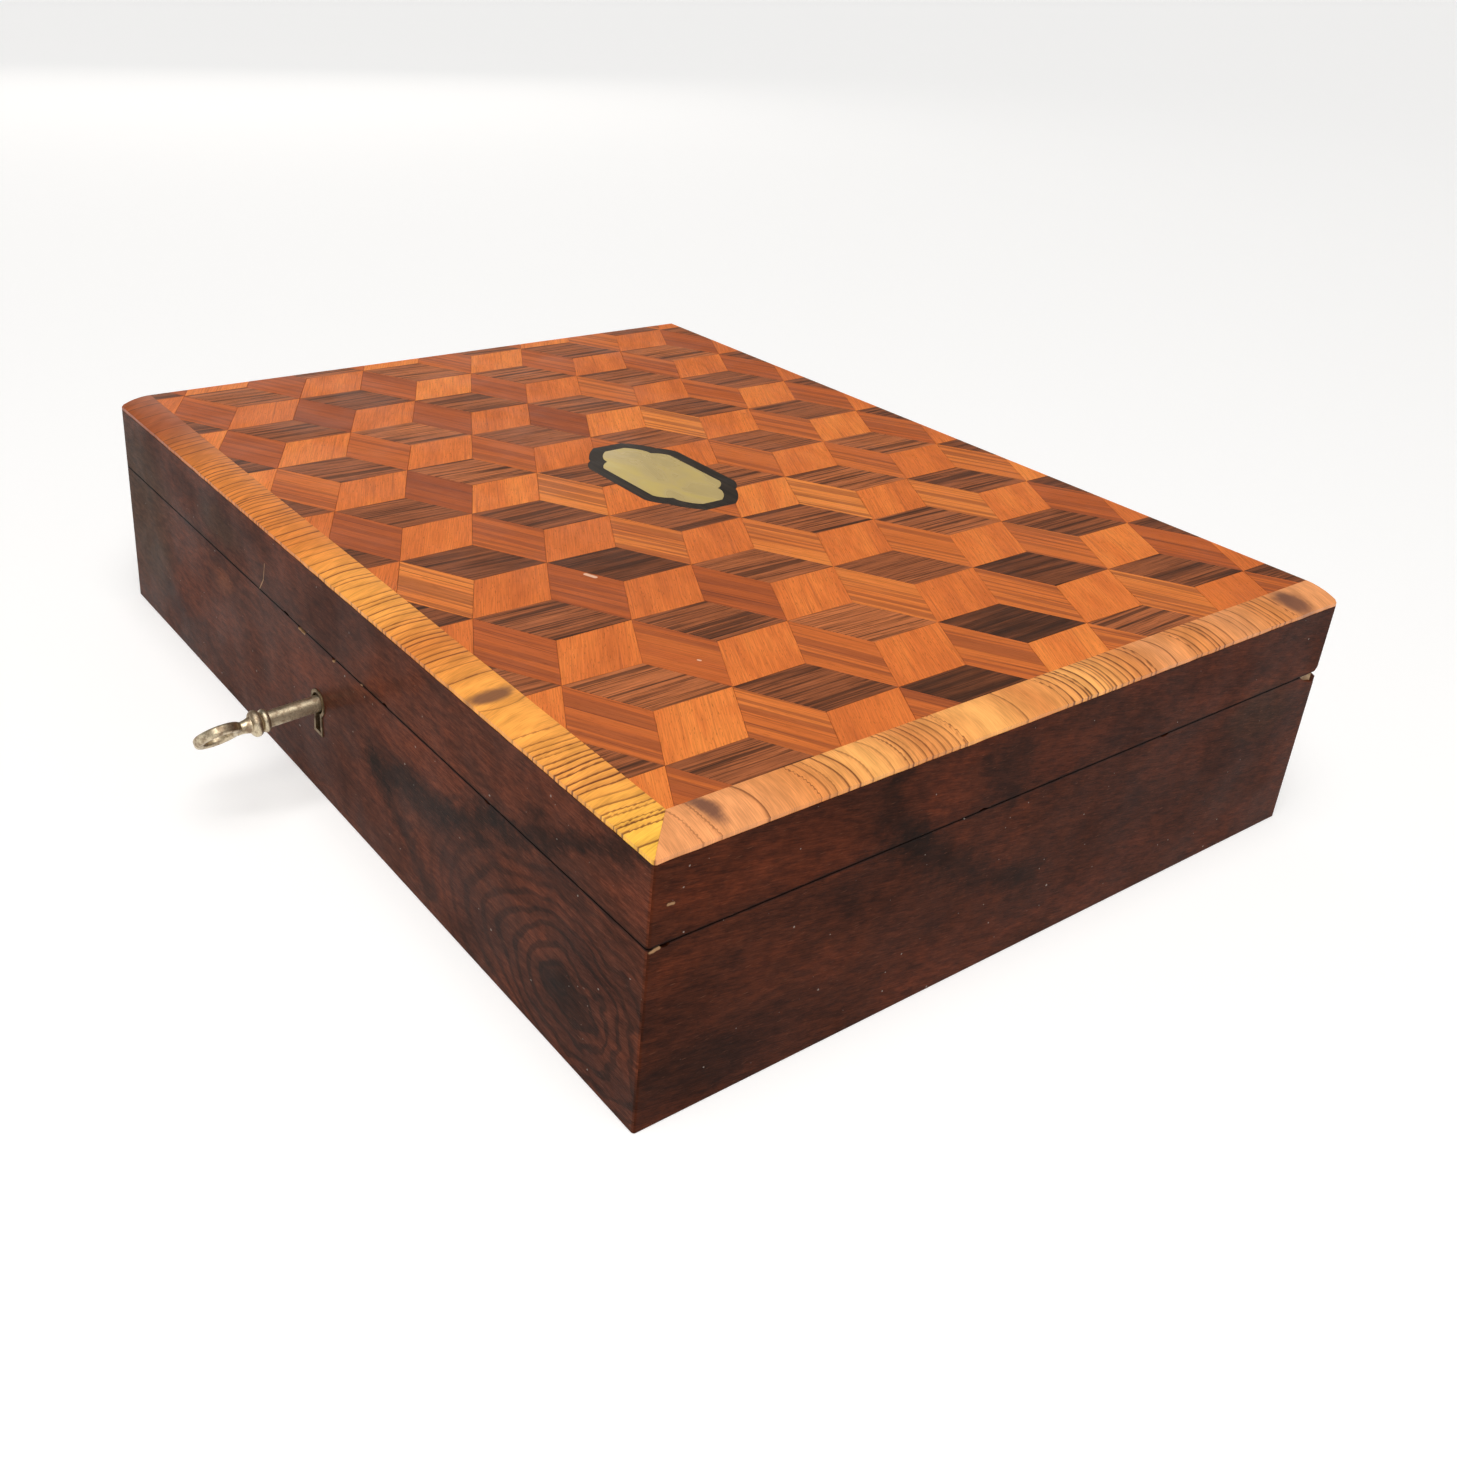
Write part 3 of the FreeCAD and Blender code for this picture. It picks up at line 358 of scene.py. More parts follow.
def rosewood(
    name, along_x, seed, knots=(), streaks=(), patches=(), marks=(), shade=(1, 1, 1), lean=0.0
):
    """French-polished rosewood. Figure is laid out as (distance along the side, height)."""
    g = Graph(name, coat=0.04, coat_roughness=0.13)
    g.shader("Specular IOR Level", 0.02)
    x, y, z = g.split(g.place())
    flat = g.join(x if along_x else y, z, seed)
    drift = g.vector("SUBTRACT", g.cloud(flat, 0.045, 3.0), (0.5, 0.5, 0.5))
    bent = g.vector("ADD", flat, g.vector("MULTIPLY", drift, (26.0, 13.0, 0.0)))

    broad = g.noise(g.stretch(bent, 0.022, 0.045), 1.0, 4.0, 0.6)
    colour = g.ramp(broad, (0.28, DARK), (0.50, BROWN), (0.74, RED))
    figure = g.noise(g.stretch(bent, 0.014, 0.11), 1.0, 4.0, 0.65, 0.6)
    colour = g.tint(colour, g.step(figure, 0.32, 0.66, 0.80, 1.14))
    for (px, pz), (rx, rz), tone, strength in patches:
        off = g.vector("MULTIPLY", g.vector("SUBTRACT", bent, (px, pz, seed)), (1 / rx, 1 / rz, 0))
        near = g.vector("LENGTH", off, output="Value")
        colour = g.mix(g.step(near, 0.35, 1.15, strength, 0.0), colour, tone)
    for (kx, kz), core, reach, rings in knots:
        off = g.vector("MULTIPLY", g.vector("SUBTRACT", bent, (kx, kz, seed)), (0.62, 1.0, 0))
        far = g.vector("LENGTH", off, output="Value")
        ripple = g.times(g.noise(flat, 0.09, 2.0), 9.0)
        wave = g.math("SINE", g.add(g.times(far, rings), ripple))
        fade = g.step(far, core, reach, 0.60, 0.0)
        colour = g.mix(g.times(g.step(wave, 0.0, 0.9), fade), colour, BLACK)
        colour = g.mix(g.step(far, core * 0.30, core * 1.15, 0.80, 0.0), colour, BLACK)
    for points, width, strength in streaks:
        far = g.to_line(bent, [(px, pz, seed) for px, pz in points])
        fray = g.math("SUBTRACT", g.noise(flat, 0.35, 4.0, 0.7), 0.5)
        ragged = g.add(far, g.times(fray, width * 1.6))
        colour = g.mix(g.step(ragged, 0.0, width, strength, 0.0), colour, BLACK)

    grain = flat
    if lean:
        across = g.math("MULTIPLY_ADD", g.split(flat)[0], math.tan(math.radians(-lean)), z)
        grain = g.join(g.split(flat)[0], across, seed)
    mottle = g.noise(g.stretch(grain, 0.18, 0.55), 1.0, 5.0, 0.75)
    colour = g.tint(colour, g.step(mottle, 0.32, 0.68, 0.66, 1.38))
    fibres = g.noise(g.stretch(grain, 0.16, 2.8), 1.0, 3.0, 0.65)
    colour = g.tint(colour, g.step(fibres, 0.30, 0.70, 0.74, 1.28))
    pores = g.noise(g.stretch(grain, 0.40, 5.5), 1.0, 2.0)
    colour = g.tint(colour, g.step(pores, 0.30, 0.42, 0.55, 1.0))
    # The side's shade factor: on the front and right it is partly the veneer's own colour and partly
    # painted shade, darkening those sides for the dim light they get.
    colour = g.mix(1.0, colour, shade, "MULTIPLY")
    # Painted shade in the gap along the seam between lid and case, with a little grime.
    seam = g.math("ABSOLUTE", g.math("SUBTRACT", z, SEAM_MIDDLE))
    seam_shade_and_grime = g.add(seam, g.times(g.noise(flat, 0.30, 3.0), 0.5))
    colour = g.mix(g.step(seam_shade_and_grime, 0.35, 0.95, 0.88, 0.0), colour, (0.008, 0.004, 0.003))
    flecks = g.noise(g.stretch(flat, 0.35, 3.2), 1.0, 1.0)
    colour = g.mix(g.step(flecks, 0.66, 0.80, 0.0, 0.35), colour, (0.22, 0.085, 0.042))
    dust = g.noise(flat, 0.9, 0.0)
    colour = g.mix(g.step(dust, 0.855, 0.885, 0.0, 0.55), colour, (0.42, 0.35, 0.30))
    for a, b, width in marks:
        far = g.to_segment(flat, (*a, seed), (*b, seed))
        ragged = g.add(far, g.times(g.noise(flat, 0.8, 2.0), width))
        colour = g.mix(g.step(ragged, width * 0.8, width * 1.5, 0.8, 0.0), colour, PALE_WOOD)
    finish_wood(g, colour, pores, 0.04, 0.40)
    return g.material


# ======================================================================
# Lozenge marquetry
# ======================================================================
# How light each lozenge is, from 0 to 9, judged for each row of the pattern: the number of the row's
# first lozenge, then one digit for each. The others get a seeded random tone.
TULIP_TONES = {
    -3: (-3, "332528344"), -2: (-3, "31414246"), -1: (-4, "432487254"), 0: (-4, "43155775"),
    1: (-5, "446959666"), 2: (-5, "64455867"), 3: (-5, "23447334"),
}
KING_TONES = {
    -4: (-1, "4322254"), -3: (-2, "74542474"), -2: (-3, "73873143"), -1: (-3, "76555580"),
    0: (-4, "67666540"), 1: (-4, "56457616"), 2: (-5, "48557433"), 3: (-5, "54433222"),
}
GRAIN_ANGLE = {"tulipwood": 30, "kingwood": 90, "satinwood": -30}


def wander(key, reach):
    """The same small random shift each time for the same key."""
    draw = random.Random(key)
    return Vector((draw.uniform(-reach, reach), draw.uniform(-reach, reach)))


def six_way(i, j):
    """Where six lozenge points meet."""
    spot = Vector((LATTICE_X + (i + j / 2) * PITCH, LATTICE_Y + j * ROW_PITCH))
    return spot + wander(f"six {i} {j}", JOINT_WANDER)


def three_way(i, j, pointing_up):
    """Where three blunt corners meet: the middle of a triangle of six-way points."""
    corners = [(i + 1, j), (i, j + 1), (i, j) if pointing_up else (i + 1, j + 1)]
    x = sum(LATTICE_X + (a + b / 2) * PITCH for a, b in corners) / 3
    y = sum(LATTICE_Y + b * ROW_PITCH for a, b in corners) / 3
    return Vector((x, y)) + wander(f"three {i} {j} {pointing_up}", JOINT_WANDER)


def lozenges(wood):
    """Each lozenge's four corners, anticlockwise, and how light it is."""
    for j in range(-5, 6):
        for i in range(-9, 9):
            if wood == "tulipwood":
                ends = (six_way(i, j), six_way(i + 1, j))
                blunt = (three_way(i, j - 1, False), three_way(i, j, True))
                tones = TULIP_TONES.get(j)
            elif wood == "kingwood":
                ends = (six_way(i, j), six_way(i, j + 1))
                blunt = (three_way(i, j, True), three_way(i - 1, j, False))
                tones = KING_TONES.get(j)
            else:
                ends = (six_way(i, j + 1), six_way(i + 1, j))
                blunt = (three_way(i, j, True), three_way(i, j, False))
                tones = None
            tone = random.Random(f"{wood} {i} {j}").uniform(0.25, 0.8)
            if tones and 0 <= i - tones[0] < len(tones[1]):
                tone = int(tones[1][i - tones[0]]) / 9
            yield (ends[0], blunt[0], ends[1], blunt[1]), tone, f"{wood} {i} {j}"


def inset(outline, gap):
    """A convex outline with every edge moved inwards."""
    moved = []
    count = len(outline)
    for k in range(count):
        before, here, after = outline[k - 1], outline[k], outline[(k + 1) % count]
        into, out = (here - before).normalized(), (after - here).normalized()
        normal_in, normal_out = Vector((-into.y, into.x)), Vector((-out.y, out.x))
        middle = (normal_in + normal_out).normalized()
        moved.append(here + middle * gap / max(middle.dot(normal_in), 0.3))
    return moved


def clip(outline, axis, limit, sign):
    """The part of a convex outline with sign * coordinate <= limit."""
    kept = []
    for k, here in enumerate(outline):
        before = outline[k - 1]
        inside, was_inside = sign * here[axis] <= limit, sign * before[axis] <= limit
        if inside != was_inside:
            share = (limit - sign * before[axis]) / (sign * here[axis] - sign * before[axis])
            kept.append(before.lerp(here, share))
        if inside:
            kept.append(here)
    return [p for k, p in enumerate(kept) if (p - kept[k - 1]).length > 0.05]


def new_piece(name, bm, body, material):
    mesh = bpy.data.meshes.new(name)
    bm.normal_update()
    bm.to_mesh(mesh)
    bm.free()
    piece = bpy.data.objects.new(name, mesh)
    bpy.context.scene.collection.objects.link(piece)
    mesh.materials.append(material)
    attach(piece, body)
    return piece


def stack(bm, rings):
    """A closed solid through rings of equal length, lowest first."""
    levels = [[bm.verts.new(p) for p in ring] for ring in rings]
    count = len(levels[0])
    faces = [bm.faces.new(list(reversed(levels[0]))), bm.faces.new(levels[-1])]
    for low, high in zip(levels, levels[1:]):
        for k in range(count):
            n = (k + 1) % count
            faces.append(bm.faces.new((low[k], low[n], high[n], high[k])))
    return faces


def cut_solid(piece, cutter):
    """Takes the cutter's shape out of a piece and clears the boolean modifier; the cutter itself is
    left in place.
    """
    modifier = piece.modifiers.new("cut", "BOOLEAN")
    modifier.object = cutter
    modifier.operation = "DIFFERENCE"
    modifier.solver = "EXACT"
    graph = bpy.context.evaluated_depsgraph_get()
    result = bpy.data.meshes.new_from_object(piece.evaluated_get(graph), depsgraph=graph)
    piece.modifiers.clear()
    piece.data = result
    return piece


def cartouche_outline(grow):
    """The plaque's outline, widened by grow: lobed sides with a small cusp at each shoulder."""
    flat = Vector((PLAQUE_FLAT + FLAT_GROWTH * grow, PLAQUE_HALF_W + grow))
    cusp = Vector((CUSP_X + grow * CUSP_GROWTH_X, CUSP_Y + grow * CUSP_GROWTH_Y))
    step = CUSP_STEP - grow * STEP_SHRINK
    ledge = cusp + Vector((step * 0.9, -step * 0.1))
    end = Vector((PLAQUE_HALF_L + grow, PLAQUE_END + FLAT_GROWTH * grow))

    def bow(a, b, bulge, count=6):
        middle = (a + b) / 2 + bulge
        control = 2 * middle - (a + b) / 2
        ways = [k / count for k in range(1, count + 1)]
        return [a * (1 - t) ** 2 + control * 2 * t * (1 - t) + b * t * t for t in ways]

    swell = Vector((LOBE_SWELL, LOBE_SWELL))
    quarter = [flat] + bow(flat, cusp, swell) + [ledge] + bow(ledge, end, swell)
    top = quarter[::-1] + [Vector((-p.x, p.y)) for p in quarter]
    bottom = [Vector((p.x, -p.y)) for p in reversed(top)]
    return [p + Vector((LATTICE_X, LATTICE_Y)) for p in top + bottom]


def lozenge_piece(wood, material, cutter):
    """All lozenges of one wood, each a thin block with softened upper edges."""
    bm = bmesh.new()
    owner = bm.faces.layers.int.new("owner")
    homes = []
    for corners, tone, key in lozenges(wood):
        draw = random.Random(key + " cut")
        outline = inset(list(corners), JOINT_GAP + draw.uniform(0, JOINT_SPREAD))
        for axis, sign, limit in FIELD_EDGES:
            outline = clip(outline, axis, limit, sign) if len(outline) > 2 else []
        if len(outline) < 3:
            continue
        middle = sum(outline, Vector((0, 0))) / len(outline)
        if min((p - middle).length for p in outline) < SLIVER:
            continue
        top = inset(outline, SOFTENED)
        levels = ((outline, FIELD_SEAT), (outline, FIELD_TOP - SOFTENED), (top, FIELD_TOP))
        rings = [[(p.x * MM, p.y * MM, z * MM) for p in ring] for ring, z in levels]
        for face in stack(bm, rings):
            face[owner] = len(homes)
        lean = math.radians(GRAIN_ANGLE[wood] + draw.uniform(-2.5, 2.5))
        shift = Vector([draw.uniform(-900, 900) for axis in range(3)])
        homes.append(((corners[0] + corners[2]) / 2, lean, shift, tone))
    piece = new_piece("lozenges_" + wood, bm, "lid", material)
    cut_solid(piece, cutter)
    mesh = piece.data
    grains = np.zeros((len(mesh.loops), 3))
    tones = np.zeros(len(mesh.loops))
    owners = [item.value for item in mesh.attributes["owner"].data]
    for polygon in mesh.polygons:
        home, lean, shift, tone = homes[owners[polygon.index]]
        for loop in polygon.loop_indices:
            spot = mesh.vertices[mesh.loops[loop].vertex_index].co / MM
            off = Vector((spot.x, spot.y)) - home
            along = off.x * math.cos(lean) + off.y * math.sin(lean)
            across = off.y * math.cos(lean) - off.x * math.sin(lean)
            grains[loop] = Vector((along, across, 0)) + shift
            tones[loop] = tone
    mesh.attributes.new("grain", "FLOAT_VECTOR", "CORNER").data.foreach_set("vector", grains.ravel())
    mesh.attributes.new("tone", "FLOAT", "CORNER").data.foreach_set("value", tones)
    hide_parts("marquetry_" + wood)
    return piece


# Pale slivers of filler: from, to, width.
FILLED = (((40.4, -56.4), (43.0, -55.3), 0.75), ((92.0, -60.2), (92.5, -59.9), 0.35))


def fleck(g, colour):
    """The pale slivers of filler on the lid, on top of the wood's own colour."""
    place = g.vector("MULTIPLY", g.place(), (1.0, 1.0, 0.0))
    for a, b, width in FILLED:
        far = g.to_segment(place, a, b)
        colour = g.mix(g.step(far, width * 0.7, width, 0.85, 0.0), colour, (0.85, 0.55, 0.38))
    return colour


def tulipwood():
    g = Graph("tulipwood", coat=0.04, coat_roughness=0.22)
    g.shader("Specular IOR Level", 0.12)
    grain, tone = g.attribute("grain", "Vector"), g.attribute("tone")
    soft = g.noise(g.stretch(grain, 0.012, 0.13, 0.3), 1.0, 2.0)
    light = g.add(g.times(tone, 0.75), g.times(soft, 0.42))
    colour = g.ramp(
        light, (0.22, (0.33, 0.072, 0.021)), (0.48, (0.52, 0.118, 0.028)),
        (0.72, (0.68, 0.175, 0.036)), (0.95, (0.84, 0.260, 0.053)),
    )
    stripes = g.noise(g.stretch(grain, 0.008, 0.42, 0.4), 1.0, 1.0)
    colour = g.mix(g.step(stripes, 0.50, 0.58, 0.0, 0.55), colour, (0.27, 0.068, 0.026))
    lines = g.noise(g.stretch(grain, 0.012, 1.5, 0.4), 1.0, 2.0, 0.6)
    colour = g.mix(g.step(lines, 0.58, 0.70, 0.0, 0.65), colour, (0.17, 0.045, 0.020))
    fibres = g.noise(g.stretch(grain, 0.08, 4.0), 1.0, 2.0)
    colour = g.tint(colour, g.step(fibres, 0.3, 0.7, 0.84, 1.12))
    pores = g.noise(g.stretch(grain, 0.35, 6.0), 1.0, 1.0)
    colour = g.tint(colour, g.step(pores, 0.28, 0.38, 0.70, 1.0))
    finish_wood(g, fleck(g, colour), pores)
    return g.material


def kingwood():
    g = Graph("kingwood", coat=0.04, coat_roughness=0.22)
    g.shader("Specular IOR Level", 0.12)
    grain, tone = g.attribute("grain", "Vector"), g.attribute("tone")
    soft = g.noise(g.stretch(grain, 0.022, 0.28, 0.3), 1.0, 3.0, 0.6)
    light = g.add(g.times(tone, 0.66), g.times(soft, 0.56))
    colour = g.ramp(
        light, (0.20, (0.070, 0.026, 0.013)), (0.36, (0.180, 0.056, 0.023)),
        (0.60, (0.350, 0.104, 0.037)), (0.95, (0.58, 0.175, 0.056)),
    )
    bands = g.noise(g.stretch(grain, 0.012, 0.50, 0.4), 1.0, 1.0)
    colour = g.mix(g.step(bands, 0.54, 0.64, 0.0, 0.70), colour, (0.055, 0.022, 0.012))
    lines = g.noise(g.stretch(grain, 0.020, 1.8, 0.4), 1.0, 3.0, 0.65)
    colour = g.mix(g.step(lines, 0.50, 0.62, 0.0, 0.80), colour, (0.045, 0.018, 0.010))
    fibres = g.noise(g.stretch(grain, 0.10, 4.5), 1.0, 2.0)
    colour = g.tint(colour, g.step(fibres, 0.3, 0.7, 0.75, 1.25))
    pores = g.noise(g.stretch(grain, 0.30, 6.0), 1.0, 1.0)
    colour = g.tint(colour, g.step(pores, 0.30, 0.40, 0.6, 1.0))
    finish_wood(g, fleck(g, colour), pores)
    return g.material


def satinwood():
    g = Graph("satinwood", coat=0.04, coat_roughness=0.22)
    g.shader("Specular IOR Level", 0.12)
    grain, tone = g.attribute("grain", "Vector"), g.attribute("tone")
    soft = g.noise(g.stretch(grain, 0.03, 0.16, 0.3), 1.0, 3.0, 0.55, 0.4)
    light = g.add(g.times(tone, 0.42), g.times(soft, 0.62))
    colour = g.ramp(
        light, (0.25, (0.54, 0.124, 0.029)), (0.50, (0.74, 0.185, 0.038)),
        (0.75, (0.88, 0.262, 0.053)),
    )
    lines = g.noise(g.stretch(grain, 0.016, 0.9, 0.4), 1.0, 2.0, 0.6)
    colour = g.mix(g.step(lines, 0.58, 0.74, 0.0, 0.50), colour, (0.40, 0.095, 0.030))
    fibres = g.noise(g.stretch(grain, 0.12, 3.4), 1.0, 2.0)
    colour = g.tint(colour, g.step(fibres, 0.3, 0.7, 0.86, 1.10))
    pores = g.noise(g.stretch(grain, 0.50, 4.5), 1.0, 1.0)
    colour = g.tint(colour, g.step(pores, 0.27, 0.36, 0.62, 1.0))
    finish_wood(g, fleck(g, colour), pores)
    return g.material


def add_marquetry():
    """The three woods, cut out round the cartouche."""
    bm = bmesh.new()
    outline = cartouche_outline(FRAME_BORDER + FRAME_PLAY)
    rings = [[(p.x * MM, p.y * MM, z * MM) for p in outline] for z in (60.0, 80.0)]
    stack(bm, rings)
    bmesh.ops.recalc_face_normals(bm, faces=bm.faces)
    mesh = bpy.data.meshes.new("cutter")
    bm.to_mesh(mesh)
    bm.free()
    cutter = bpy.data.objects.new("cutter", mesh)
    bpy.context.scene.collection.objects.link(cutter)
    woods = (("tulipwood", tulipwood()), ("kingwood", kingwood()), ("satinwood", satinwood()))
    for wood, material in woods:
        lozenge_piece(wood, material, cutter)
    bpy.data.objects.remove(cutter)


# ======================================================================
# Crossbanding
# ======================================================================
DULL = (0.36, 0.105, 0.042)
ORANGE = (0.72, 0.27, 0.070)
BRIGHT = (0.90, 0.43, 0.115)
YELLOW = (0.97, 0.58, 0.110)
PINK = (0.78, 0.33, 0.115)
# Each strip from its left end, seen from outside: stretches of (length, ring spacing, colour),
# dark knots (place, half width, height in the strip from 0 to 1), the slant of the rings, and
# the strip's own tint.
BANDS = {
    "front": (
        [(62, 6, DULL), (28, 3.2, ORANGE), (30, 2.2, ORANGE), (26, 3.5, ORANGE), (28, 4, BRIGHT),
         (18, 2.6, BRIGHT), (20, 1.9, ORANGE), (28, 9, BRIGHT), (14, 2.6, BRIGHT), (32, 2.0, BRIGHT),
         (9, 5, YELLOW)],
        [(229, 3.5, 0.45)], -0.28, (1.04, 0.89, 0.66),
    ),
    "right": (
        [(14, 8, PINK), (18, 12, PINK), (20, 2.6, ORANGE), (12, 5, BRIGHT), (18, 1.9, ORANGE),
         (22, 16, BRIGHT), (12, 4, ORANGE), (24, 2.1, BRIGHT), (8, 2.5, ORANGE), (16, 14, PINK),
         (12, 2.4, ORANGE), (22, 4, PINK), (10, 2.2, ORANGE), (20, 16, PINK)],
        [(18.5, 3.2, 0.7), (213, 6.0, 0.45)], 0.22, (1.05, 1.02, 1.12),
    ),
}
BAND_STEP = 0.75          # spacing of the cross sections along a strip
BAND_ROWS = 10            # facets across the crown
BAND_ARC = 4              # facets round each half of a corner
CROWN_OUT = 0.23          # which way the crown stands off the sloping top
CROWN_UP = 0.97
MITRE_GAP = 0.02


def band_rings(stretches, draw):
    """Where the growth rings cross the middle of the strip."""
    marks, at, edge = [-6.0], 0.0, 0.0
    for length, spacing, _ in stretches:
        edge += length
        while at < edge:
            marks.append(at)
            at += spacing * draw.uniform(0.45, 1.6)
    return marks + [edge + 2, edge + 8]


def crossbanding():
    g = Graph("crossbanding", coat=0.10, coat_roughness=0.16)
    g.shader("Specular IOR Level", 0.12)
    ring = g.attribute("ring", "Vector")
    phase, spacing, knot = g.split(ring)
    strip = g.attribute("strip", "Vector")
    colour = g.attribute("wood", "Color")
    share = g.math("FRACT", phase)
    number = g.math("FLOOR", phase)
    fierce = g.node("TexWhiteNoise", {"W": number}, "Value", noise_dimensions="1D")
    gone = g.times(share, spacing)
    left = g.times(g.math("SUBTRACT", 1.0, share), spacing)
    late = g.step(left, 0.0, 1.8, 1.0, 0.0)
    colour = g.mix(g.times(late, g.add(0.10, g.times(fierce, 0.40))), colour, (0.52, 0.17, 0.055))
    edge = g.math("MINIMUM", left, g.times(gone, 1.8))
    line = g.step(edge, 0.08, 0.62, 1.0, 0.0)
    colour = g.mix(g.times(line, g.add(0.30, g.times(fierce, 0.70))), colour, (0.13, 0.036, 0.016))
    soft = g.noise(g.stretch(strip, 0.25, 0.10), 1.0, 3.0)
    colour = g.tint(colour, g.step(soft, 0.3, 0.7, 0.84, 1.12))
    fibres = g.noise(g.stretch(strip, 3.2, 0.22), 1.0, 2.0)
    colour = g.tint(colour, g.step(fibres, 0.3, 0.7, 0.87, 1.10))
    smudge = g.add(knot, g.times(g.math("SUBTRACT", g.noise(strip, 0.35, 3.0), 0.5), 0.5))
    colour = g.mix(g.step(smudge, 0.25, 0.95, 0.0, 0.85), colour, (0.13, 0.058, 0.045))
    pores = g.noise(g.stretch(strip, 3.0, 0.6), 1.0, 1.0)
    finish_wood(g, colour, pores, 0.02, 0.36)
    return g.material


def band_piece(number, side, material):
    """A strip with a crowned top, mitred at the near right corner and square at its other end."""
    draw = random.Random("band " + side)
    half, out = (HALF_L, HALF_D) if side == "front" else (HALF_D, HALF_L)
    mitred_way = 1 if side == "front" else -1
    turn = Matrix.Rotation(math.radians(90 * number), 3, "Z")
    stretches, knots, slant, shade = BANDS[side]
    marks = band_rings(stretches, draw)
    edges = np.cumsum([0] + [s[0] for s in stretches])
    middles = (edges[:-1] + edges[1:]) / 2
    gaps = np.diff(marks)

    rows = [k / BAND_ROWS for k in range(BAND_ROWS + 1)]
    section = [(0.0, BAND_SEAT)]
    for u in rows:
        crown = 4 * BAND_CROWN * u * (1 - u)
        level = BAND_EDGE + (FIELD_TOP - BAND_EDGE) * u
        section.append((BAND_W * u - crown * CROWN_OUT, level + crown * CROWN_UP))
    section.append((BAND_W, BAND_SEAT))
    count = int(2 * half / BAND_STEP)
    bm = bmesh.new()
    columns = []
    for k in range(-BAND_ARC, count + BAND_ARC + 1):
        way = min(max(k / count, 0.0), 1.0) * 2 - 1
        turned = 0.0
        if k < 0:
            turned = -math.radians(45) * (-k) / BAND_ARC
        if k > count:
            turned = math.radians(45) * (k - count) / BAND_ARC
        column = []
        for t, z in section:
            radius = max(CORNER_R - t, 0.0)
            if way * mitred_way > 0:
                reach = half - max(t, CORNER_R) - MITRE_GAP
                swing = radius * math.sin(turned)
            else:
                reach = half - CORNER_R + math.sqrt(CORNER_R ** 2 - radius ** 2)
                swing = 0.0
                turned = 0.0
            along = way * reach + swing
            ripple = noise.noise(Vector((along * 0.16, number * 7.0, 0.0)))
            uneven = 0.10 * (1 + ripple) * max(1 - t, 0.0) * (1 - abs(way) ** 40)
            inward = max(t, CORNER_R) - radius * math.cos(turned) + uneven
            spot = turn @ Vector((along, -out + inward, z))
            column.append(bm.verts.new(spot * MM))
        columns.append(column)
    size = len(section)
    for a, b in zip(columns, columns[1:]):
        for k in range(size):
            n = (k + 1) % size
            bm.faces.new((a[k], a[n], b[n], b[k]))
    bm.faces.new(columns[0])
    bm.faces.new(list(reversed(columns[-1])))
    bmesh.ops.remove_doubles(bm, verts=bm.verts, dist=1e-8)
    bmesh.ops.dissolve_degenerate(bm, edges=bm.edges, dist=1e-8)
    bmesh.ops.recalc_face_normals(bm, faces=bm.faces)
    piece = new_piece("strip_" + side, bm, "lid", material)
    mesh = piece.data
    co = np.empty(len(mesh.vertices) * 3)
    mesh.vertices.foreach_get("co", co)
    local = (co.reshape(-1, 3) / MM) @ np.array(turn)
    s, t = local[:, 0] + half, local[:, 1] + out
    rise = t / BAND_W * 2 - 1
    bent = s + slant * (t - BAND_W / 2) + 0.8 * rise ** 2
    spots = [Vector((a * 0.07, b * 0.12, number * 9.0)) for a, b in zip(s, t)]
    bent += np.array([0.9 * noise.noise(spot) for spot in spots])
    bulge = np.zeros(len(s))
    knot = np.zeros(len(s))
    for place, width, height in knots:
        fade = np.exp(-((s - place) / (width * 2.2)) ** 2)
        bulge += 1.6 * fade * np.sign(s - place) * (1 - rise ** 2)
        far = np.hypot((bent - place) / width, (t / BAND_W - height) * 1.5)
        knot = np.maximum(knot, np.clip(1.35 - far, 0, 1))
    bent -= bulge
    phase = np.interp(bent, marks, np.arange(len(marks)))
    spacing = gaps[np.clip(phase.astype(int), 0, len(gaps) - 1)]
    wood = np.ones((len(s), 4))
    for channel in range(3):
        tones = [min(c[2][channel] * shade[channel], 0.97) for c in stretches]
        wood[:, channel] = np.interp(bent, middles, tones)
    for name, kind, values, field in (
        ("ring", "FLOAT_VECTOR", np.stack([phase + 50 * number, spacing, knot], 1), "vector"),
        ("strip", "FLOAT_VECTOR", np.stack([s + 400 * number, t, 0 * s], 1), "vector"),
        ("wood", "FLOAT_COLOR", wood, "color"),
    ):
        mesh.attributes.new(name, kind, "POINT").data.foreach_set(field, values.ravel())
    smooth(piece, 30)
    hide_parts("banding_" + side)


def smooth(piece, degrees):
    mesh = piece.data
    mesh.polygons.foreach_set("use_smooth", [True] * len(mesh.polygons))
    mesh.set_sharp_from_angle(angle=math.radians(degrees))


# ======================================================================
# Plaque, metal, carcase and cloth
# ======================================================================
def ebony():
    g = Graph("ebony", coat=0.12, coat_roughness=0.2)
    g.shader("Specular IOR Level", 0.2)
    place = g.place()
    grain = g.noise(g.stretch(place, 0.06, 2.2), 1.0, 3.0)
    colour = g.ramp(
        grain, (0.3, (0.012, 0.008, 0.005)), (0.55, (0.030, 0.019, 0.011)),
        (0.8, (0.070, 0.042, 0.022)),
    )
    finish_wood(g, colour, g.noise(g.stretch(place, 0.3, 5.0)), 0.02, 0.42)
    return g.material


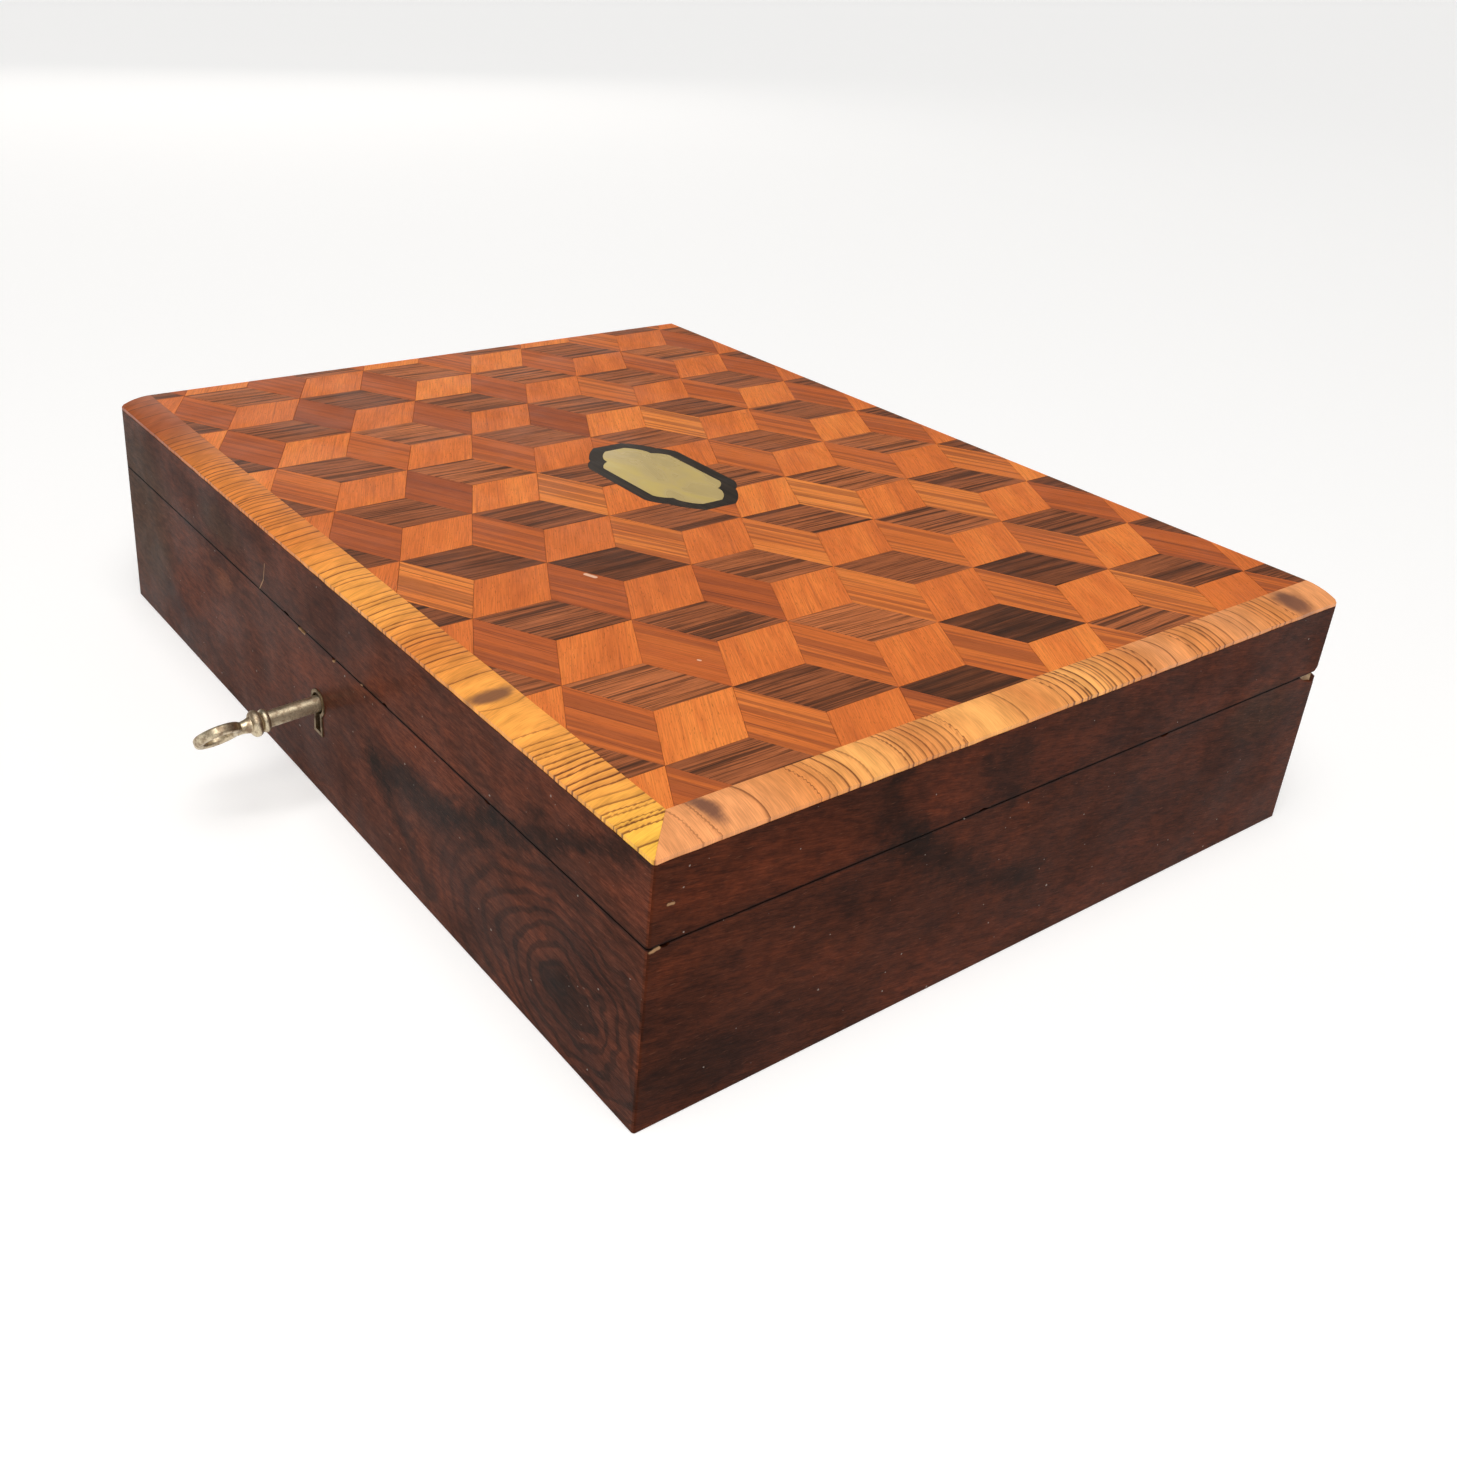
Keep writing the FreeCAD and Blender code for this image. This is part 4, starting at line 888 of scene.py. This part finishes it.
def pearl():
    g = Graph("pearl", roughness=0.28, coat=0.3, coat_roughness=0.15)
    place = g.place()
    cloud = g.noise(g.stretch(place, 0.06, 0.10), 1.0, 2.0, 0.5, 0.6)
    colour = g.ramp(
        cloud, (0.28, (0.53, 0.40, 0.165)), (0.48, (0.58, 0.43, 0.165)),
        (0.62, (0.62, 0.46, 0.130)), (0.78, (0.66, 0.54, 0.24)),
    )
    layers = g.noise(g.stretch(place, 0.12, 0.30), 1.0, 2.0, 0.5, 0.5)
    colour = g.tint(colour, g.step(layers, 0.3, 0.7, 0.97, 1.03))
    g.shader("Base Color", colour)
    g.shader("Roughness", g.step(cloud, 0.3, 0.7, 0.22, 0.38))
    g.shader("Specular IOR Level", 0.6)
    g.shader("Normal", g.bump(layers, 0.01))
    return g.material


def old_metal(name, clean, tarnish, shine=0.3):
    """Metal with brown tarnish in blotches and fine rubbing marks."""
    g = Graph(name, metallic=1.0)
    place = g.place()
    blotch = g.noise(place, 0.45, 4.0, 0.6)
    colour = g.mix(g.step(blotch, 0.42, 0.66, 0.0, 0.85), clean, tarnish)
    fine = g.noise(place, 3.0, 3.0)
    colour = g.tint(colour, g.step(fine, 0.3, 0.7, 0.82, 1.12))
    g.shader("Base Color", colour)
    g.shader("Roughness", g.step(blotch, 0.35, 0.7, shine, shine + 0.25))
    g.shader("Normal", g.bump(fine, 0.02))
    return g.material


def carcase_wood():
    g = Graph("carcase_wood", roughness=0.6)
    place = g.place()
    x, y, z = g.split(place)
    grain = g.join(g.times(x, 0.02), g.times(y, 0.5), g.times(z, 0.5))
    figure = g.noise(grain, 1.0, 3.0, 0.55, 0.8)
    colour = g.ramp(
        figure, (0.3, (0.30, 0.165, 0.080)), (0.55, (0.46, 0.285, 0.145)),
        (0.75, (0.55, 0.36, 0.20)),
    )
    pores = g.noise(g.join(g.times(x, 0.3), g.times(y, 4.0), g.times(z, 4.0)), 1.0, 2.0)
    colour = g.tint(colour, g.step(pores, 0.3, 0.45, 0.75, 1.0))
    finish_wood(g, colour, pores, 0.06, 0.62)
    return g.material


def velvet():
    """Garnet short-pile cloth, rubbed lighter in places."""
    g = Graph("garnet_cloth", roughness=0.92)
    place = g.place()
    rubbed = g.noise(place, 0.03, 4.0, 0.6)
    colour = g.ramp(
        rubbed, (0.3, (0.105, 0.010, 0.020)), (0.6, (0.19, 0.020, 0.036)),
        (0.8, (0.27, 0.040, 0.058)),
    )
    pile = g.noise(place, 2.4, 3.0, 0.7)
    colour = g.tint(colour, g.step(pile, 0.25, 0.75, 0.66, 1.25))
    g.shader("Base Color", colour)
    g.shader("Specular IOR Level", 0.15)
    g.shader("Sheen Weight", 0.5)
    g.shader("Sheen Roughness", 0.4)
    g.shader("Sheen Tint", (0.9, 0.35, 0.4, 1))
    g.shader("Normal", g.bump(pile, 0.12))
    return g.material


NEIGHBOURS = ((0, -1), (1, 0), (0, 1), (-1, 0))


def soft_panel(name, node, body, material, window, normal_axis, face_up, fullness, step=4.0):
    """A cloth-covered panel over a grid: rounded edges, a slightly full face, a flat back.

    A window is a notch open at the top: its two sides, then its lower edge.
    """
    low, high = (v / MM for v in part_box(node))
    flat_axes = [k for k in range(3) if k != normal_axis]
    a0, b0 = low[flat_axes[0]], low[flat_axes[1]]
    a1, b1 = high[flat_axes[0]], high[flat_axes[1]]
    thick = high[normal_axis] - low[normal_axis]
    back, front = low[normal_axis], high[normal_axis]
    if not face_up:
        back, front = front, back
    way = 1 if front > back else -1
    bm = bmesh.new()

    def lines(first, last, stops):
        """Grid lines, closer together near the edges and at the stops."""
        found = {first, last, *stops}
        for edge, sign in ((first, 1), (last, -1)):
            found.update(edge + sign * d for d in (0.15, 0.4, 0.8, 1.4, 2.4))
        count = max(2, round((last - first) / step))
        found.update(first + (last - first) * k / count for k in range(1, count))
        kept = []
        for v in sorted(found):
            if not kept or v - kept[-1] > 0.08:
                kept.append(v)
        kept[-1] = last
        return kept

    along = lines(a0, a1, window[0] if window else ())
    up = lines(b0, b1, window[1] if window else ())
    verts = {}

    def depth(a, b):
        """How far the face stands from the back, from the nearest edge."""
        near = min(a - a0, a1 - a, b - b0, b1 - b)
        if window:
            (c0, c1), (d0,) = window
            near = min(near, max(c0 - a, a - c1, d0 - b))
        near = max(near, 0.0)
        round_off = math.sqrt(max(0.0, 1 - (1 - min(near / (thick * 0.6), 1.0)) ** 2))
        wave = noise.noise(Vector((a * 0.06, b * 0.06, thick)))
        full = fullness * (0.55 + 0.45 * wave) * (1 - math.exp(-near / 14))
        return (thick - fullness) * (0.35 + 0.65 * round_off) + full

    def point(a, b, d):
        spot = [0.0, 0.0, 0.0]
        spot[flat_axes[0]], spot[flat_axes[1]], spot[normal_axis] = a, b, back + way * d
        return Vector(spot) * MM

    for i, a in enumerate(along):
        for j, b in enumerate(up):
            verts[i, j, 1] = bm.verts.new(point(a, b, depth(a, b)))
            verts[i, j, 0] = bm.verts.new(point(a, b, 0.0))

    def solid(i, j):
        if not (0 <= i < len(along) - 1 and 0 <= j < len(up) - 1):
            return False
        if not window:
            return True
        (c0, c1), (d0,) = window
        a, b = (along[i] + along[i + 1]) / 2, (up[j] + up[j + 1]) / 2
        return not (c0 < a < c1 and b > d0)

    for i in range(len(along) - 1):
        for j in range(len(up) - 1):
            if not solid(i, j):
                continue
            square = [(i, j), (i + 1, j), (i + 1, j + 1), (i, j + 1)]
            bm.faces.new([verts[p, q, 1] for p, q in square])
            bm.faces.new([verts[p, q, 0] for p, q in reversed(square)])
            rims = zip(square, square[1:] + square[:1])
            for (di, dj), (p, q) in zip(NEIGHBOURS, rims):
                if not solid(i + di, j + dj):
                    bm.faces.new((verts[(*p, 0)], verts[(*q, 0)], verts[(*q, 1)], verts[(*p, 1)]))
    loose = [v for v in bm.verts if not v.link_faces]
    bmesh.ops.delete(bm, geom=loose, context="VERTS")
    bmesh.ops.recalc_face_normals(bm, faces=bm.faces)
    piece = new_piece(name, bm, body, material)
    smooth(piece, 50)
    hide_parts(node)
    return piece


def add_lining(material):
    """Floor pad, lid pad and the cards on the walls."""
    soft_panel("floor_pad", "floor_lining", "case", material, None, 2, True, 0.5)
    soft_panel("lid_pad", "lid_lining_pad", "lid", material, None, 2, False, 1.2)
    for body, prefix in (("case", "body"), ("lid", "lid")):
        for side in SIDES:
            normal_axis = 1 if side in ("front", "back") else 0
            inward = side in ("front", "left")
            window = ((-27.4, 27.4), (16.2,)) if (prefix, side) == ("body", "front") else None
            node = f"{prefix}_lining_{side}"
            name = f"{prefix}_cloth_{side}"
            soft_panel(name, node, body, material, window, normal_axis, inward, 0.25)


# ======================================================================
# Putting it together
# ======================================================================
def dress_nodes():
    """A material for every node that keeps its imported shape."""
    # The shade factors of the front and right are partly their veneers' colour and partly painted
    # shade for the dim light on those sides.
    front = rosewood(
        "rosewood_front", True, 3.0, shade=(0.74, 0.57, 0.45),
        knots=[((121, 17), 8.5, 54, 1.65)],
        streaks=[
            ([(150, 69), (124, 58), (104, 50), (92, 45)], 5.2, 0.74),
            ([(92, 46), (83, 38), (64, 31), (30, 27)], 6.8, 0.76),
            ([(30, 26), (44, 18), (60, 8)], 7.4, 0.66),
        ],
        patches=[
            ((54, 41), (36, 7), RED, 0.60), ((62, 13), (22, 8), RED, 0.45),
            ((112, 38), (22, 6), RED, 0.40), ((-62, 39), (12, 5), (0.24, 0.090, 0.042), 0.55),
            ((-98, 24), (26, 10), RED, 0.45), ((-136, 38), (34, 36), MOSS, 0.75),
            ((-66, 57), (18, 6), MOSS, 0.50), ((-4, 12), (62, 9), DARK, 0.40),
        ],
        marks=[
            ((-36.5, 47.6), (-33.5, 51.5), 0.28), ((-33.5, 51.5), (-32.0, 57.0), 0.20),
            ((-10.6, 46.5), (-6.8, 46.4), 0.42), ((10.3, 46.2), (11.5, 46.6), 0.42),
            ((26.4, 47.0), (27.2, 47.1), 0.3),
        ],
    )
    right = rosewood(
        "rosewood_right", False, 11.0, shade=(0.50, 0.33, 0.20), lean=-11,
        streaks=[
            ([(-44, 46), (-28, 35), (-10, 26), (6, 22)], 9.0, 0.62),
            ([(-50, 67), (-51, 56), (-42, 47)], 7.0, 0.62),
            ([(-14, 62), (-11, 54), (-10, 47)], 6.0, 0.52),
            ([(-62, 41), (-55, 36)], 5.0, 0.35),
        ],
        patches=[
            ((-100, 10), (24, 10), BLACK, 0.45), ((-78, 56), (22, 9), RED, 0.45),
            ((-30, 54), (12, 8), RED, 0.45), ((4, 55), (26, 8), RED, 0.40),
            ((86, 42), (16, 9), MOSS, 0.35), ((60, 20), (60, 12), BROWN, 0.4),
        ],
        marks=[((-109.5, 56.6), (-108.2, 56.4), 0.5), ((-113, 46.6), (-111, 46.9), 0.6)],
    )
    back = rosewood(
        "rosewood_back", True, 23.0, knots=[((-70, 30), 6.0, 40, 0.6)],
        streaks=[([(-147, 52), (-100, 40), (-40, 44), (10, 30), (60, 36)], 3.5, 0.75)],
        patches=[((90, 30), (50, 20), RED, 0.4)],
    )
    left = rosewood(
        "rosewood_left", False, 37.0,
        streaks=[([(-110, 20), (-60, 34), (0, 30), (50, 48)], 4.0, 0.75)],
        patches=[((30, 20), (50, 12), (0.095, 0.034, 0.020), 0.5)],
    )
    rim = rosewood("rosewood_rim", True, 51.0)
    brass = old_metal("aged_brass", (0.60, 0.43, 0.19), (0.20, 0.12, 0.05))
    steel = old_metal("dull_steel", (0.42, 0.41, 0.39), (0.16, 0.12, 0.09), 0.35)
    lock_face = old_metal("worn_gilt", (0.25, 0.18, 0.10), (0.085, 0.052, 0.030), 0.46)
    by_slot = {
        "carcase_wood": carcase_wood(), "ebony": ebony(), "pearl": pearl(),
        "brass": brass, "steel": steel,
        "key_metal": old_metal("worn_key_metal", (0.66, 0.56, 0.39), (0.29, 0.20, 0.13), 0.38),
    }
    by_side = {"front": front, "right": right, "back": back, "left": left}
    slots = {p["node"]: p["material_slot"] for p in frame["record"]["subparts"]}
    for name, node in nodes.items():
        material = by_slot.get(slots[name])
        if name.endswith("_veneer"):
            material = by_side[name.split("_")[1]]
        elif name.endswith("rim_strips"):
            material = rim
        elif name == "keyhole_escutcheon":
            material = lock_face
        if material:
            node.data.materials.clear()
            node.data.materials.append(material)


add_camera()
add_studio()
dress_nodes()
add_marquetry()
band_wood = crossbanding()
for number, side in enumerate(BANDS):
    band_piece(number, side, band_wood)
add_lining(velvet())
